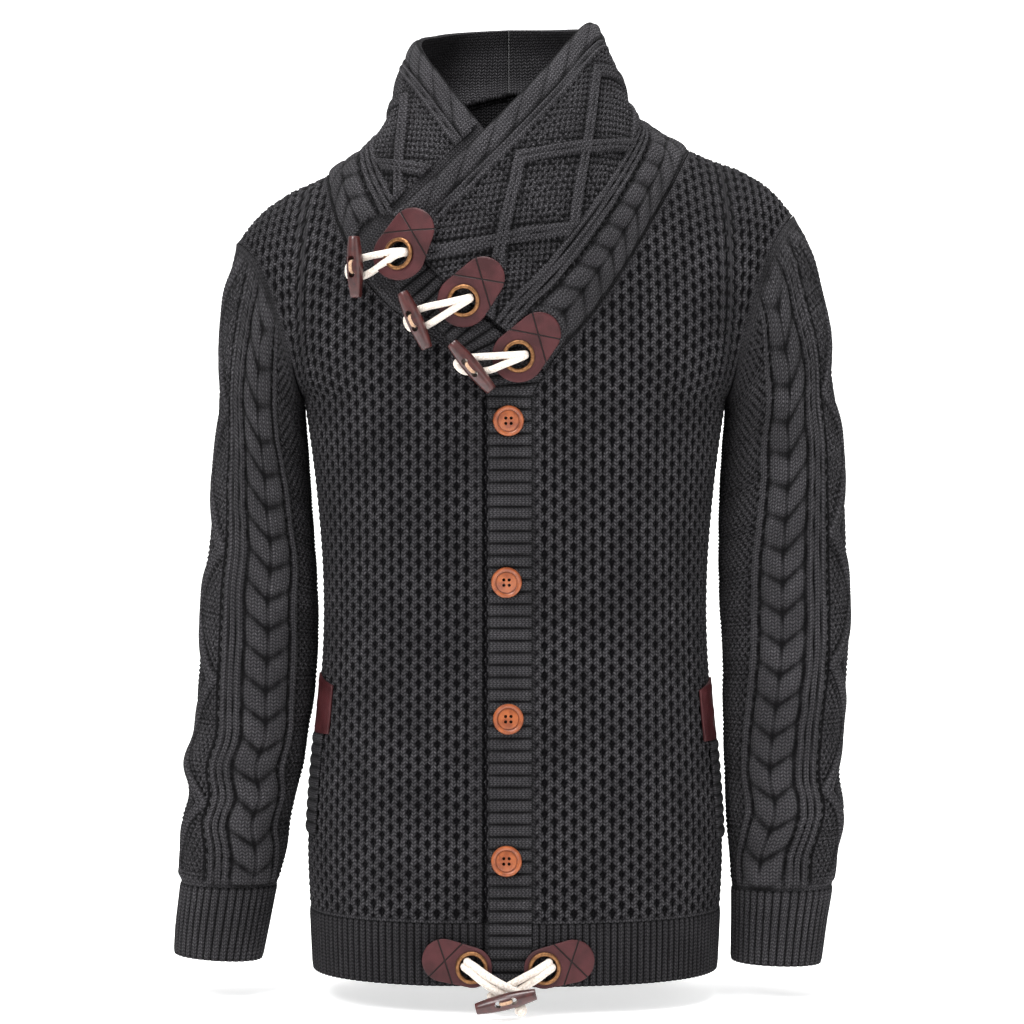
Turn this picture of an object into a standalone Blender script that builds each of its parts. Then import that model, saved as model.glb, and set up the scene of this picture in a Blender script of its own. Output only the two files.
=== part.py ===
"""A worn cable-knit wrap-collar cardigan, its cloth as thin walls, with its buttons, toggles and leather.

Lengths are in millimetres until a mesh is made, which is in metres. +X is the wearer's left, the
front faces -Y, +Z is up. The origin lies between the shoulders, inside the hollow, where the
wearer's shoulders carry the garment.
"""

import math
from typing import NamedTuple

import bmesh
import bpy
import numpy as np
from mathutils import Matrix, Vector
from mathutils.bvhtree import BVHTree

MM = 0.001
FRONT, BACK = -1, 1
LEFT, RIGHT = 1, -1  # the wearer's left is +X

# Driving sizes, in mm
CLOTH = 3.0  # knitted wall
RIB_CLOTH = 2.6
SEAM_GAP = 0.4
ARMPIT_Z = -205.0  # below it rows are level, above it they rise to the shoulder seams
HEM_TOP_Z = -618.0
HEM_Z = -667.0
SHOULDER_Y = 5.0
NECK_WIDER = 0.92  # the neckline reaches further out on the right
SHOULDER_TILT = 0.05  # the right shoulder hangs a little lower than the left
TORSO_POWER = 2.4
SHOULDER_POWER = 2.2
BAND_EDGE_X = 13.0  # where the left front meets its button band
RIB_PITCH = 5.8
BAND_RIB_PITCH = 9.6
BAND_RISE = 0.8  # the least that the band stands out from the fronts
ARMHOLE_GAP = 0.6
COLLAR_GAP = 0.8
CUFF_RIBS = 38
CUFF_ROW = 16  # the row of the table where the sleeve ends and its cuff begins
SLEEVE_POWER = 2.1
HALF_ROUND = 320.0  # half way round a sleeve at its top
RIB_HIGH, RIB_LOW = 0.8, -0.6  # ridges and grooves of the hem and cuffs
BAND_RIDGE = 1.5

# Leather, metal, horn, cord and buttons
PATCH_END = 17.0  # radius of the wide end
PATCH_NOSE = 15.8  # radius about the eyelet
PATCH_THICK = 2.0
EYELET_HOLE = 9.6
EYELET_RIM = 12.8
CORD_THICK = 5.2
TOGGLE_LENGTH = 48.0
TOGGLE_THICK = 12.0
TIE_THICK = 3.0
DRILL_X = 5.4
BUTTON_RADIUS = 12.0
BUTTON_HEIGHTS = (-225.5, -352, -459, -569)
BUTTON_X = (-5.2, -6.8, -5.4, -6.8)
POCKET_RIBS = 9
PATCH_CLEAR = 0.92  # least distance between the patches and the cloth
BUTTON_CLEAR = 0.4
# heights of a cord above its patch, on its way out of the eyelet
OVER_RIM = (3.3, 4.8, 7.6, 8.4)
HEM_LOW = (3.3, 5.1, 7.9, 7.0)
HEM_HIGH = (3.3, 5.4, 9.4, 12.6)

# Rows and columns of the cloth's meshes
ROWS_BELOW = 9
SLEEVE_ROWS = 22
FRONT_COLUMNS = 10
SHOULDER_COLUMNS = 4
NECK_COLUMNS = 16
SLEEVE_COLUMNS = (0, 13, 26, 38, 48, 57, 66, 76, 86, 96, 105, 113)  # mm from the outer line
COLLAR_TURN = 0.392  # level with the lower corners of the collar
HALF_TURNS = np.array([column / HALF_ROUND for column in SLEEVE_COLUMNS] + [COLLAR_TURN, 0.45, 0.5])
TURNS = np.concatenate([HALF_TURNS, 1 - HALF_TURNS[1:-1][::-1]])
COLLAR_ROW = ROWS_BELOW + 2
COLLAR_WIDTHS = (
    0, 0.03, 0.07, 0.115, 0.16, 0.21, 0.245, 0.28, 0.315, 0.36, 0.43,
    0.50, 0.57, 0.64, 0.71, 0.78, 0.83, 0.87, 0.905, 0.94, 0.97, 1.0,
)
COLLAR_INNER = (0, 3, 6, 9, 10, 11, 12, 13, 14, 15, 17, 19, 21)


class Girth(NamedTuple):
    """A level section of the torso: its height, half width, and depth to the front and back."""

    z: float
    half: float
    front: float
    back: float


TORSO = (
    Girth(-667, 164.5, 128, 112),
    Girth(-618, 167.0, 127, 110),
    Girth(-574, 169.0, 125, 107),
    Girth(-500, 165.0, 118, 98),
    Girth(-450, 160.0, 113, 92),
    Girth(-402, 156.8, 110, 90),
    Girth(-375, 156.3, 110, 90),
    Girth(-344, 157.0, 111, 92),
    Girth(-300, 160.0, 115, 97),
    Girth(-250, 165.5, 119, 103),
    Girth(-205, 172.0, 122, 108),
)


class Armhole(NamedTuple):
    """A step up the chest: share of the way to the shoulder, armhole x, its share of the section's
    half width, and the section's depth to the front and back."""

    rise: float
    x: float
    share: float
    front: float
    back: float


CHEST = (
    Armhole(0.00, 172.0, 1.000, 122, 108),
    Armhole(0.05, 174.5, 0.965, 121, 109),
    Armhole(0.15, 178.5, 0.930, 120, 111),
    Armhole(0.35, 188.0, 0.905, 118, 112),
    Armhole(0.60, 201.0, 0.892, 113, 112),
    Armhole(0.80, 214.0, 0.887, 107, 109),
    Armhole(1.00, 228.0, 0.885, 98, 104),
)


class ShoulderLine(NamedTuple):
    """The top of the body at a distance from the middle: its height, and its y on the back piece."""

    x: float
    z: float
    y: float


SHOULDER = (
    ShoulderLine(0, 57, 86),
    ShoulderLine(50, 45, 79),
    ShoulderLine(100, 15, 46),
    ShoulderLine(140, -6, 5),
    ShoulderLine(158, -15, 5),
    ShoulderLine(189, -28.5, 5),
    ShoulderLine(210, -43.5, 5),
    ShoulderLine(228, -65, 5),
)


class SeamPoint(NamedTuple):
    """A point of a front neckline, where the collar is sewn on, seen from the front."""

    x: float
    z: float


NECK_SEAM = {
    LEFT: (
        SeamPoint(13.4, -205),
        SeamPoint(24, -187),
        SeamPoint(40, -165.5),
        SeamPoint(52, -153),
        SeamPoint(67, -134),
        SeamPoint(82.5, -111),
        SeamPoint(98, -85),
        SeamPoint(110, -64),
        SeamPoint(122, -43),
        SeamPoint(143.5, 0.2),
    ),
    RIGHT: (
        SeamPoint(-15, -205),
        SeamPoint(-26, -194),
        SeamPoint(-51, -169),
        SeamPoint(-75, -153),
        SeamPoint(-91, -142),
        SeamPoint(-114, -120),
        SeamPoint(-131, -91),
        SeamPoint(-141, -70),
        SeamPoint(-149, -45),
        SeamPoint(-155, -21.0),
    ),
}


class CollarRow(NamedTuple):
    """A section across a collar half: the point of the neck seam it starts from (x, z), then four
    points x, y, z up to its free edge."""

    seam: tuple
    low: tuple
    middle: tuple
    high: tuple
    edge: tuple


COLLAR = {
    LEFT: (
        CollarRow((23.5, -187), (-8, -129, -155.5), (-38, -131, -131), (-67, -128, -105), (-96.6, -120, -64)),
        CollarRow((67, -134), (43, -127, -103), (17, -129, -71), (-9, -121, -38), (-35, -106, -6)),
        CollarRow((98, -85), (81, -106, -50), (64, -100, -13), (43, -88, 22), (19, -71, 53)),
        CollarRow((122, -43), (107, -70, -13), (90, -60, 22), (74, -50, 60), (52, -31, 95)),
        CollarRow((143.5, 0), (114, 4, 14), (86, 6, 30), (77, 12, 65), (66, 18, 101)),
        CollarRow((96, 22), (88, 58, 38), (80, 61, 58), (70, 61, 84), (54, 57, 108)),
        CollarRow((50, 47.5), (49, 86, 61), (46, 88, 77), (41, 88, 94), (30, 81, 111)),
        CollarRow((-5, 57), (-4.5, 93, 69), (-4.5, 95, 83), (-4.5, 95, 98), (-5, 88, 112)),
    ),
    RIGHT: (
        CollarRow((-31, -187), (-8, -120, -163), (9, -118, -133), (25, -113, -102), (42, -106, -72)),
        CollarRow((-91, -142), (-68, -116, -113), (-45, -116, -85), (-21, -108, -56), (2, -97, -28)),
        CollarRow((-131, -91), (-108, -95, -62), (-84, -97, -34), (-58, -92, -6), (-33, -80, 18)),
        CollarRow((-149, -45), (-128, -56, -18), (-108, -54, 5), (-88, -50, 32), (-64, -33, 62)),
        CollarRow((-155, -21), (-122, 2, 0), (-99, 6, 24), (-98, 12, 57), (-80, 20, 91)),
        CollarRow((-106, 6), (-98, 58, 26), (-92, 61, 48), (-83, 61, 76), (-66, 60, 103)),
        CollarRow((-55, 42), (-57, 86, 57), (-55, 88, 74), (-52, 88, 92), (-42, 81, 109)),
        CollarRow((-6, 57), (-5.5, 93, 69), (-5.5, 95, 83), (-5.5, 95, 98), (-6, 88, 112)),
    ),
}


class SleeveRow(NamedTuple):
    """A section of a sleeve: its outermost and innermost points seen from the front, its half depth
    and the y of its middle."""

    outer_x: float
    outer_z: float
    inner_x: float
    inner_z: float
    half_depth: float
    middle_y: float


SLEEVE = {
    LEFT: (
        SleeveRow(229, -55, 172.6, -205, 70, 0),
        SleeveRow(240, -78, 173.4, -213, 68, 1),
        SleeveRow(248, -111, 172.6, -224, 64, 2),
        SleeveRow(256, -148, 171, -242, 60, 3),
        SleeveRow(259, -189, 169.6, -264, 57, 3),
        SleeveRow(265.5, -230, 168.4, -291, 55, 3),
        SleeveRow(268, -271, 168, -318, 53, 2),
        SleeveRow(270, -320, 168, -347, 51, 1),
        SleeveRow(271.5, -365, 169, -380, 50, 0),
        SleeveRow(272, -402, 171, -410, 49, -1),
        SleeveRow(269, -443, 171, -447, 48, -3),
        SleeveRow(265, -480, 171.4, -480, 47, -6),
        SleeveRow(264, -512, 172, -508, 46, -9),
        SleeveRow(267, -540, 173, -537, 47, -11),
        SleeveRow(264, -556, 173.6, -553, 45, -12),
        SleeveRow(260, -571, 175.6, -572, 42, -13),
        SleeveRow(258, -601, 177, -602, 41, -14),
        SleeveRow(253.5, -628, 177, -627, 38, -15),
        SleeveRow(248.5, -663, 176.5, -661, 37, -16),
    ),
    RIGHT: (
        SleeveRow(-228.5, -77, -172.6, -205, 70, 0),
        SleeveRow(-231, -95, -173.4, -213, 68, 1),
        SleeveRow(-236, -115, -172.6, -224, 64, 2),
        SleeveRow(-239, -142, -171, -242, 60, 3),
        SleeveRow(-240.5, -181, -169.4, -264, 57, 3),
        SleeveRow(-242.5, -230, -167.6, -291, 55, 3),
        SleeveRow(-246, -271, -165.6, -318, 53, 2),
        SleeveRow(-248, -312, -163.6, -345, 51, 1),
        SleeveRow(-253.5, -353, -162.2, -378, 50, 0),
        SleeveRow(-256, -402, -162.6, -410, 49, -1),
        SleeveRow(-258.5, -443, -165.5, -448, 48, -3),
        SleeveRow(-260, -478, -170.8, -480, 47, -6),
        SleeveRow(-268, -502, -174, -504, 46, -9),
        SleeveRow(-265, -526, -179.6, -525, 45, -11),
        SleeveRow(-270.5, -548, -184.5, -550, 46, -12),
        SleeveRow(-270, -564, -186.5, -567, 43, -13),
        SleeveRow(-272, -598, -194.5, -600, 41, -14),
        SleeveRow(-276, -635, -201.5, -635, 38, -15),
        SleeveRow(-277, -655, -206.5, -660, 37, -16),
    ),
}


class BandRow(NamedTuple):
    """A line across the button band, seen from the front: its right and left ends."""

    right: tuple
    left: tuple


BAND = (
    BandRow((-21, -665), (13, -665)),
    BandRow((-21, -245), (13, -245)),
    BandRow((-21, -222), (12.9, -222)),
    BandRow((-22.5, -205), (11.8, -206)),
    BandRow((-26, -195.5), (18.0, -191)),
    BandRow((-33, -183), (8, -172)),
    BandRow((-48.5, -166), (-25.5, -145)),
    BandRow((-75.5, -138.5), (-53.0, -117.5)),
    BandRow((-98.5, -114), (-76.5, -98.5)),
    BandRow((-113, -95), (-92.5, -76)),
)


class Paint(NamedTuple):
    """A material: its colour, roughness and metallic value."""

    color: tuple
    roughness: float
    metallic: float


PAINTS = {
    "knit": Paint((0.040, 0.038, 0.042), 0.95, 0.0),
    "leather": Paint((0.090, 0.028, 0.028), 0.45, 0.0),
    "brass": Paint((0.42, 0.24, 0.11), 0.35, 1.0),
    "horn": Paint((0.085, 0.022, 0.017), 0.28, 0.0),
    "cord": Paint((0.83, 0.76, 0.68), 0.90, 0.0),
    "button": Paint((0.45, 0.12, 0.035), 0.30, 0.0),
}


# ---------------------------------------------------------------- curves and numbers


def spline(knots, values):
    """Makes a smooth function through a value, or a point, at each knot."""
    knots = np.asarray(knots, float)
    values = np.asarray(values, float)
    slopes = np.gradient(values, knots, axis=0)

    def at(place):
        place = np.clip(np.asarray(place, float), knots[0], knots[-1])
        low = np.clip(np.searchsorted(knots, place) - 1, 0, len(knots) - 2)
        width = knots[low + 1] - knots[low]
        s = (place - knots[low]) / width
        for _ in values.shape[1:]:
            s, width = s[..., None], width[..., None]
        start = values[low] * (2 * s**3 - 3 * s**2 + 1) + slopes[low] * width * (s**3 - 2 * s**2 + s)
        end = values[low + 1] * (3 * s**2 - 2 * s**3) + slopes[low + 1] * width * (s**3 - s**2)
        return start + end

    return at


def table_spline(rows, knot, column):
    return spline([getattr(row, knot) for row in rows], [getattr(row, column) for row in rows])


def smoothstep(value, low=0.0, high=1.0):
    s = np.clip((np.asarray(value, float) - low) / (high - low), 0, 1)
    return s * s * (3 - 2 * s)


def arc_lengths(points):
    steps = np.linalg.norm(np.diff(points, axis=0), axis=-1)
    return np.concatenate([np.zeros((1,) + steps.shape[1:]), np.cumsum(steps, axis=0)])


def unit(vectors):
    return vectors / np.maximum(np.linalg.norm(vectors, axis=-1, keepdims=True), 1e-9)


def evenly(points, count):
    """Resamples a polyline at `count` points spaced evenly along it."""
    run = arc_lengths(points)
    wanted = np.linspace(0, run[-1], count)
    return np.stack([np.interp(wanted, run, points[:, axis]) for axis in range(points.shape[1])], 1)


# ---------------------------------------------------------------- the torso's form

half_at = table_spline(TORSO, "z", "half")
front_at = table_spline(TORSO, "z", "front")
back_at = table_spline(TORSO, "z", "back")
armhole_x = table_spline(CHEST, "rise", "x")
armhole_share = table_spline(CHEST, "rise", "share")
chest_front = table_spline(CHEST, "rise", "front")
chest_back = table_spline(CHEST, "rise", "back")
shoulder_z = table_spline(SHOULDER, "x", "z")
shoulder_back_y = table_spline(SHOULDER, "x", "y")


def top_z(x):
    """The height of the body's top edge over x, with the tilt of the shoulders."""
    return shoulder_z(np.abs(x)) + SHOULDER_TILT * np.asarray(x)


def rise_of(x, z):
    """The share of the way from the armpits' level to the body's top edge."""
    return (np.asarray(z) - ARMPIT_Z) / (top_z(x) - ARMPIT_Z)


def half_width(level):
    """A level is a height below ARMPIT_Z when negative, and a rise above it from 0 to 1."""
    if level < 0:
        return float(half_at(ARMPIT_Z + level))
    return float(armhole_x(level) / armhole_share(level))


def edge_x(level):
    """The x of the side seam, or of the armhole above it."""
    return half_width(level) if level < 0 else float(armhole_x(level))


def body_point(x, level, side):
    """Points of the body's outer surface.

    Args:
        x: the distances from the middle
        level: a level, or one for each x
        side: FRONT or BACK
    """
    x, level = np.broadcast_arrays(np.asarray(x, float), np.asarray(level, float))
    low, rise = np.minimum(level, 0), np.clip(level, 0, 1)
    depth = np.where(
        level < 0,
        (front_at if side == FRONT else back_at)(ARMPIT_Z + low),
        (chest_front if side == FRONT else chest_back)(rise),
    )
    half = np.where(level < 0, half_at(ARMPIT_Z + low), armhole_x(rise) / armhole_share(rise))
    share = np.clip(np.abs(x) / half, 0, 1)
    reach = side * depth * (1 - share**TORSO_POWER) ** (1 / TORSO_POWER)
    near = np.abs(x) * np.where(x < 0, NECK_WIDER, 1)
    top_y = SHOULDER_Y if side == FRONT else np.maximum(shoulder_back_y(near), SHOULDER_Y)
    roll = (1 - rise**SHOULDER_POWER) ** (1 / SHOULDER_POWER)
    y = np.where(level < 0, reach, top_y + (reach - top_y) * roll)
    z = np.where(level < 0, ARMPIT_Z + low, ARMPIT_Z + rise * (top_z(x) - ARMPIT_Z))
    return np.stack([x, y, z], -1)


def front_point(x, z):
    """The point of the front that covers x and z, seen from the front."""
    z = np.asarray(z, float)
    level = np.where(z < ARMPIT_Z, z - ARMPIT_Z, rise_of(x, z))
    return body_point(x, level, FRONT)


def wrap_dip(x, z):
    """How far the right front lies back, in mm, where the left front laps over it."""
    return 4.6 * smoothstep(x, -75, -27) * np.ones_like(np.asarray(z, float))


def armhole_levels(side):
    """Levels from the armpit to the shoulder whose armhole points lie at the sleeve's turns."""
    rise = np.sin(np.linspace(0, math.pi / 2, 400)) ** (2 / SHOULDER_POWER)
    run = arc_lengths(body_point(armhole_x(rise), rise, side))
    return np.interp((1 - 2 * HALF_TURNS[::-1]) * run[-1], run, rise)


def levels(side):
    """A panel's levels, from the top of the hem to the shoulder."""
    below = np.linspace(HEM_TOP_Z - ARMPIT_Z, 0, ROWS_BELOW + 1)[:-1]
    return np.concatenate([below, armhole_levels(side)])


def inner_rows(count):
    """The rows that a panel's plain inner side keeps: those that meet the sleeve's columns."""
    return np.r_[0:ROWS_BELOW:2, ROWS_BELOW:count:2]


def resample(points, shares):
    """Points at shares of the way along a polyline."""
    run = arc_lengths(points)
    wanted = np.asarray(shares) * run[-1]
    return np.stack([np.interp(wanted, run, points[:, axis]) for axis in range(points.shape[1])], 1)


def across(level, start, end, shares, side):
    """A row of points between two x, at shares of its length along the cloth."""
    half = half_width(level)
    turn = [math.copysign(math.asin(min(abs(x) / half, 1) ** (TORSO_POWER / 2)), x) for x in (start, end)]
    angles = np.linspace(turn[0], turn[1], 500)
    x = half * np.abs(np.sin(angles)) ** (2 / TORSO_POWER) * np.sign(angles)
    x[0], x[-1] = start, end
    return resample(body_point(x, level, side), shares)


def seam_x(hand):
    """The x of a front neckline as a function of rise."""
    points = NECK_SEAM[hand]
    rises = [float(rise_of(point.x, point.z)) for point in points]
    rises[0], rises[-1] = 0.0, 1.0
    return spline(rises, [point.x for point in points])


# ---------------------------------------------------------------- meshes


def material(name):
    """The Principled material of a paint, made once."""
    found = bpy.data.materials.get(name)
    if found:
        return found
    made = bpy.data.materials.new(name)
    made.use_nodes = True
    shader = made.node_tree.nodes["Principled BSDF"]
    shader.inputs["Base Color"].default_value = (*PAINTS[name].color, 1)
    shader.inputs["Roughness"].default_value = PAINTS[name].roughness
    shader.inputs["Metallic"].default_value = PAINTS[name].metallic
    made.diffuse_color = (*PAINTS[name].color, 1)
    return made


def add_object(name, bm, paint):
    """Turns a bmesh in mm into an object with closed, outward faces and soft shading."""
    bmesh.ops.recalc_face_normals(bm, faces=bm.faces)
    bmesh.ops.scale(bm, vec=(MM, MM, MM), verts=bm.verts)
    mesh = bpy.data.meshes.new(name)
    bm.to_mesh(mesh)
    bm.free()
    mesh.shade_smooth()
    mesh.set_sharp_from_angle(angle=math.radians(50))
    made = bpy.data.objects.new(name, mesh)
    bpy.context.scene.collection.objects.link(made)
    made.data.materials.append(material(paint))
    return made


def normals(grid, outward, closed=False):
    """Unit normals of a grid of points, turned so that they agree with `outward` at the middle."""
    if closed:
        along = np.roll(grid, -1, 0) - np.roll(grid, 1, 0)
    else:
        along = np.gradient(grid, axis=0)
    found = unit(np.cross(along, np.gradient(grid, axis=1)))
    middle = found[grid.shape[0] // 2, grid.shape[1] // 2]
    return found if np.dot(middle, outward) > 0 else -found


def zip_edges(bm, first, second, picks):
    """Fills the strip between two rows of vertices.

    Args:
        first, second: the rows, of which the second may have fewer vertices
        picks: for each vertex of the second row, the place in the first row that it faces
    """
    i = j = 0
    while i < len(first) - 1 or j < len(second) - 1:
        turn = (picks[j] + picks[j + 1]) / 2 if j < len(second) - 1 else len(first)
        if i < len(first) - 1 and i + 0.5 <= turn:
            bm.faces.new((first[i], first[i + 1], second[j]))
            i += 1
        else:
            bm.faces.new((first[i], second[j + 1], second[j]))
            j += 1


def wall(name, outer, under, picks_around, picks_up, paint, closed=False):
    """A thin cloth wall between an outer grid of points and a plainer inner one.

    Args:
        outer: points [across, up], with the relief
        under: the inner point below each of them
        picks_around, picks_up: the columns and rows of `under` that the inner side keeps
        closed: whether the wall goes all round, as a sleeve does
    """
    bm = bmesh.new()
    inner = under[np.ix_(picks_around, picks_up)]
    grids = [[[bm.verts.new(point) for point in column] for column in grid] for grid in (outer, inner)]
    for grid in grids:
        count = len(grid)
        for i in range(count if closed else count - 1):
            for j in range(len(grid[0]) - 1):
                right = grid[(i + 1) % count]
                bm.faces.new((grid[i][j], right[j], right[j + 1], grid[i][j + 1]))
    for end in (0, -1):
        rims = [[column[end] for column in grid] for grid in grids]
        if closed:
            rims = [rim + rim[:1] for rim in rims]
        zip_edges(bm, *rims, list(picks_around) + [len(outer)] * closed)
        if not closed:
            zip_edges(bm, grids[0][end], grids[1][end], picks_up)
    CLOTHS[name] = BVHTree.FromBMesh(bm)
    return add_object(name, bm, paint)


CLOTHS = {}  # the cloth made so far, to lay other pieces on


def outermost_y(x, z, names):
    """The y of the frontmost of some cloths at a spot seen from the front, or None."""
    hits = [CLOTHS[name].ray_cast(Vector((x, -400, z)), Vector((0, 1, 0)), 400)[0] for name in names]
    found = [hit.y for hit in hits if hit]
    return min(found) if found else None


class Bed(NamedTuple):
    """A smooth patch of surface just outside some cloth, seen from the front: its middle x and z,
    the direction of its u axis, and the factors of 1, u, v, uu, uv and vv in its y."""

    x: float
    z: float
    run: tuple
    factors: tuple

    def point(self, u, v, out=0.0):
        """The point at u, v, moved outwards by `out`."""
        flat = self.flat(u, v)
        slope_u = (self.flat(u + 0.5, v) - self.flat(u - 0.5, v))
        slope_v = (self.flat(u, v + 0.5) - self.flat(u, v - 0.5))
        normal = slope_u.cross(slope_v).normalized()
        return flat + (normal if normal.y < 0 else -normal) * out

    def flat(self, u, v):
        x = self.x + u * self.run[0] - v * self.run[1]
        z = self.z + u * self.run[1] + v * self.run[0]
        terms = (1, u, v, u * u, u * v, v * v)
        return Vector((x, sum(a * b for a, b in zip(self.factors, terms)), z))

    def frame(self, u=0.0, v=0.0, out=0.0):
        """A frame at u, v: X along u, Z outwards."""
        along = (self.flat(u + 0.5, v) - self.flat(u - 0.5, v)).normalized()
        outward = (self.point(u, v, 1) - self.point(u, v)).normalized()
        made = Matrix((along, outward.cross(along), outward)).transposed().to_4x4()
        made.translation = self.point(u, v, out)
        return made


def bed(x, z, angle, reach_u, reach_v, names, clear=1.2):
    """Fits a bed over some cloth.

    Args:
        x, z: the bed's middle, seen from the front
        angle: the direction of its u axis, in degrees from +X towards +Z
        reach_u, reach_v: (from, to) extents
        names: the cloth pieces below it
        clear: the least distance to the cloth
    """
    run = (math.cos(math.radians(angle)), math.sin(math.radians(angle)))
    terms, depths = [], []
    for u in np.linspace(reach_u[0], reach_u[1], 17):
        for v in np.linspace(reach_v[0], reach_v[1], 13):
            y = outermost_y(x + u * run[0] - v * run[1], z + u * run[1] + v * run[0], names)
            if y is not None:
                terms.append((1, u, v, u * u, u * v, v * v))
                depths.append(y)
    terms, depths = np.array(terms), np.array(depths)
    factors = np.linalg.lstsq(terms, depths, rcond=None)[0]
    factors[0] -= np.max(terms @ factors - depths) + clear
    return Bed(x, z, run, tuple(float(value) for value in factors))


def every(count, step):
    """Every n-th place of a row, with both its ends."""
    return np.unique(np.round(np.linspace(0, count - 1, max(2, (count - 1) // step + 1))).astype(int))


def turned(profile, name, paint, place, sides):
    """A closed ring or disc of (radius, height) points turned about the local Z axis of `place`."""
    bm = bmesh.new()
    loops = []
    for k in range(sides):
        angle = 2 * math.pi * k / sides
        turn = Matrix.Rotation(angle, 4, "Z")
        loops.append([bm.verts.new(place @ (turn @ Vector((r, 0, h)))) for r, h in profile])
    for k, loop in enumerate(loops):
        other = loops[(k + 1) % sides]
        for i in range(len(profile)):
            j = (i + 1) % len(profile)
            bm.faces.new((loop[i], other[i], other[j], loop[j]))
    bmesh.ops.remove_doubles(bm, verts=bm.verts, dist=0.001)
    return add_object(name, bm, paint)


def cord(name, points, diameter, paint="cord"):
    """A cord of round section through route points, read from a smooth curve."""
    route = np.asarray(points, float)
    knots = arc_lengths(route)
    fine = spline(knots, route)(np.linspace(0, knots[-1], 400))
    count = max(6, int(round(arc_lengths(fine)[-1] / (2.3 * diameter))))
    fine = evenly(fine, count) * MM
    curve = bpy.data.curves.new(name, "CURVE")
    curve.dimensions = "3D"
    curve.bevel_depth = diameter / 2 * MM
    curve.bevel_resolution = 2
    curve.use_fill_caps = True
    line = curve.splines.new("POLY")
    line.points.add(len(fine) - 1)
    for point, place in zip(line.points, fine):
        point.co = (*place, 1)
    made = bpy.data.objects.new(name, curve)
    bpy.context.scene.collection.objects.link(made)
    curve.materials.append(material(paint))
    return made


# ---------------------------------------------------------------- knitted relief, in mm


def ridge(u, middle, half, height):
    """One rounded ridge about `middle`."""
    return height * np.sqrt(np.clip(1 - ((u - middle) / half) ** 2, 0, 1))


def plait(u, v, middle, half, period, height):
    """A plaited cable: two runs of loops that lean towards its middle."""
    side = np.abs(u - middle) / half
    body = np.sqrt(np.clip(1 - side**4, 0, 1)) * (side < 1)
    lean = np.abs(np.sin(math.pi * (v / period + 0.55 * side)))
    return height * body * (0.35 + 0.65 * lean)


def rope(u, v, middle, half, period, height):
    """A two-strand rope cable that twists one way."""
    place = (u - middle) / half
    body = np.sqrt(np.clip(1 - np.abs(place) ** 3, 0, 1)) * (np.abs(place) < 1)
    twist = np.abs(np.sin(math.pi * (v / period + 0.5 * place)))
    return height * body * (0.45 + 0.55 * twist)


def lattice(u, v, middle, half, period, height, cord_half=5.0):
    """Cords that cross over a panel and leave diamonds between them."""
    phase = np.abs(((v / period) % 1.0) * 2 - 1) * half
    place = u - middle
    high = np.zeros(np.broadcast(u, v).shape)
    for sign in (-1, 1):
        high = np.maximum(high, ridge(place, sign * phase, cord_half, height))
    return high * (np.abs(place) < half + cord_half)


# ---------------------------------------------------------------- the body's pieces


def front_edge(hand, level):
    """A front's inner edge: at the button band below, or under it, and the neck seam above."""
    if level > 0:
        return float(seam_x(hand)(level))
    if hand == LEFT:
        return BAND_EDGE_X + SEAM_GAP
    return 6.0 - 21.0 * float(smoothstep(level, -45, 0))


def panel(grid, side):
    """Opens a panel's side and shoulder seams, and finds its normals, squared to those seams."""
    facing = normals(grid, (0, side, 0))
    ends = (0, -1) if side == BACK else (-1,)
    for end in ends:
        grid[end, : ROWS_BELOW + 1, 1] += side * SEAM_GAP / 2
        facing[end, : ROWS_BELOW + 1, 1] = 0
    shoulder = grid[:, -1, 1] <= SHOULDER_Y + 0.01
    grid[shoulder, -1, 1] += side * SEAM_GAP / 2
    facing[shoulder, -1, 1] = 0
    facing[:, 0, 2] = 0
    return grid, unit(facing)


def dipped(grid):
    """The right front, laid back under the lapping left one."""
    grid = grid.copy()
    grid[..., 1] += wrap_dip(grid[..., 0], grid[..., 2])
    return grid


def make_fronts():
    """Both front panels, from the hem rib up to the shoulder seams.

    Returns:
        each panel's outer grid and normals, by hand
    """
    rows = levels(FRONT)
    made = {}
    for hand, name in ((LEFT, "front_left"), (RIGHT, "front_right")):
        columns = np.linspace(0, 1, FRONT_COLUMNS)
        lines = [
            across(level, front_edge(hand, level), hand * edge_x(level), columns, FRONT) for level in rows
        ]
        grid, facing = panel(np.stack(lines, 1), FRONT)
        if hand == RIGHT:
            grid = dipped(grid)
        wall(name, grid, grid - facing * CLOTH, every(FRONT_COLUMNS, 3), inner_rows(len(rows)), "knit")
        made[hand] = (grid, facing)
    return made


def back_shares():
    """Shares across the back: even over each shoulder seam, and over the neckline between them."""
    line = body_point(np.linspace(-edge_x(1), edge_x(1), 1000), 1.0, BACK)
    run = arc_lengths(line) / arc_lengths(line)[-1]
    right, left = (float(np.interp(NECK_SEAM[hand][-1].x, line[:, 0], run)) for hand in (RIGHT, LEFT))
    return np.concatenate([
        np.linspace(0, right, SHOULDER_COLUMNS + 1),
        np.linspace(right, left, NECK_COLUMNS + 1)[1:],
        np.linspace(left, 1, SHOULDER_COLUMNS + 1)[1:],
    ])


def make_back():
    """The back, in one piece from side to side; returns its outer grid and normals."""
    rows = levels(BACK)
    lines = [across(level, -edge_x(level), edge_x(level), back_shares(), BACK) for level in rows]
    grid, facing = panel(np.stack(lines, 1), BACK)
    last = len(grid) - 1
    picks = np.r_[0, 2, SHOULDER_COLUMNS : last - SHOULDER_COLUMNS + 1, last - 2, last]
    wall("back", grid, grid - facing * CLOTH, picks, inner_rows(len(rows)), "knit")
    return grid, facing


def rib_columns(length, pitch):
    """An even number of steps, so that ridges and grooves alternate and the ends are grooves."""
    return max(4, 2 * int(round(length / pitch))) + 1


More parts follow.
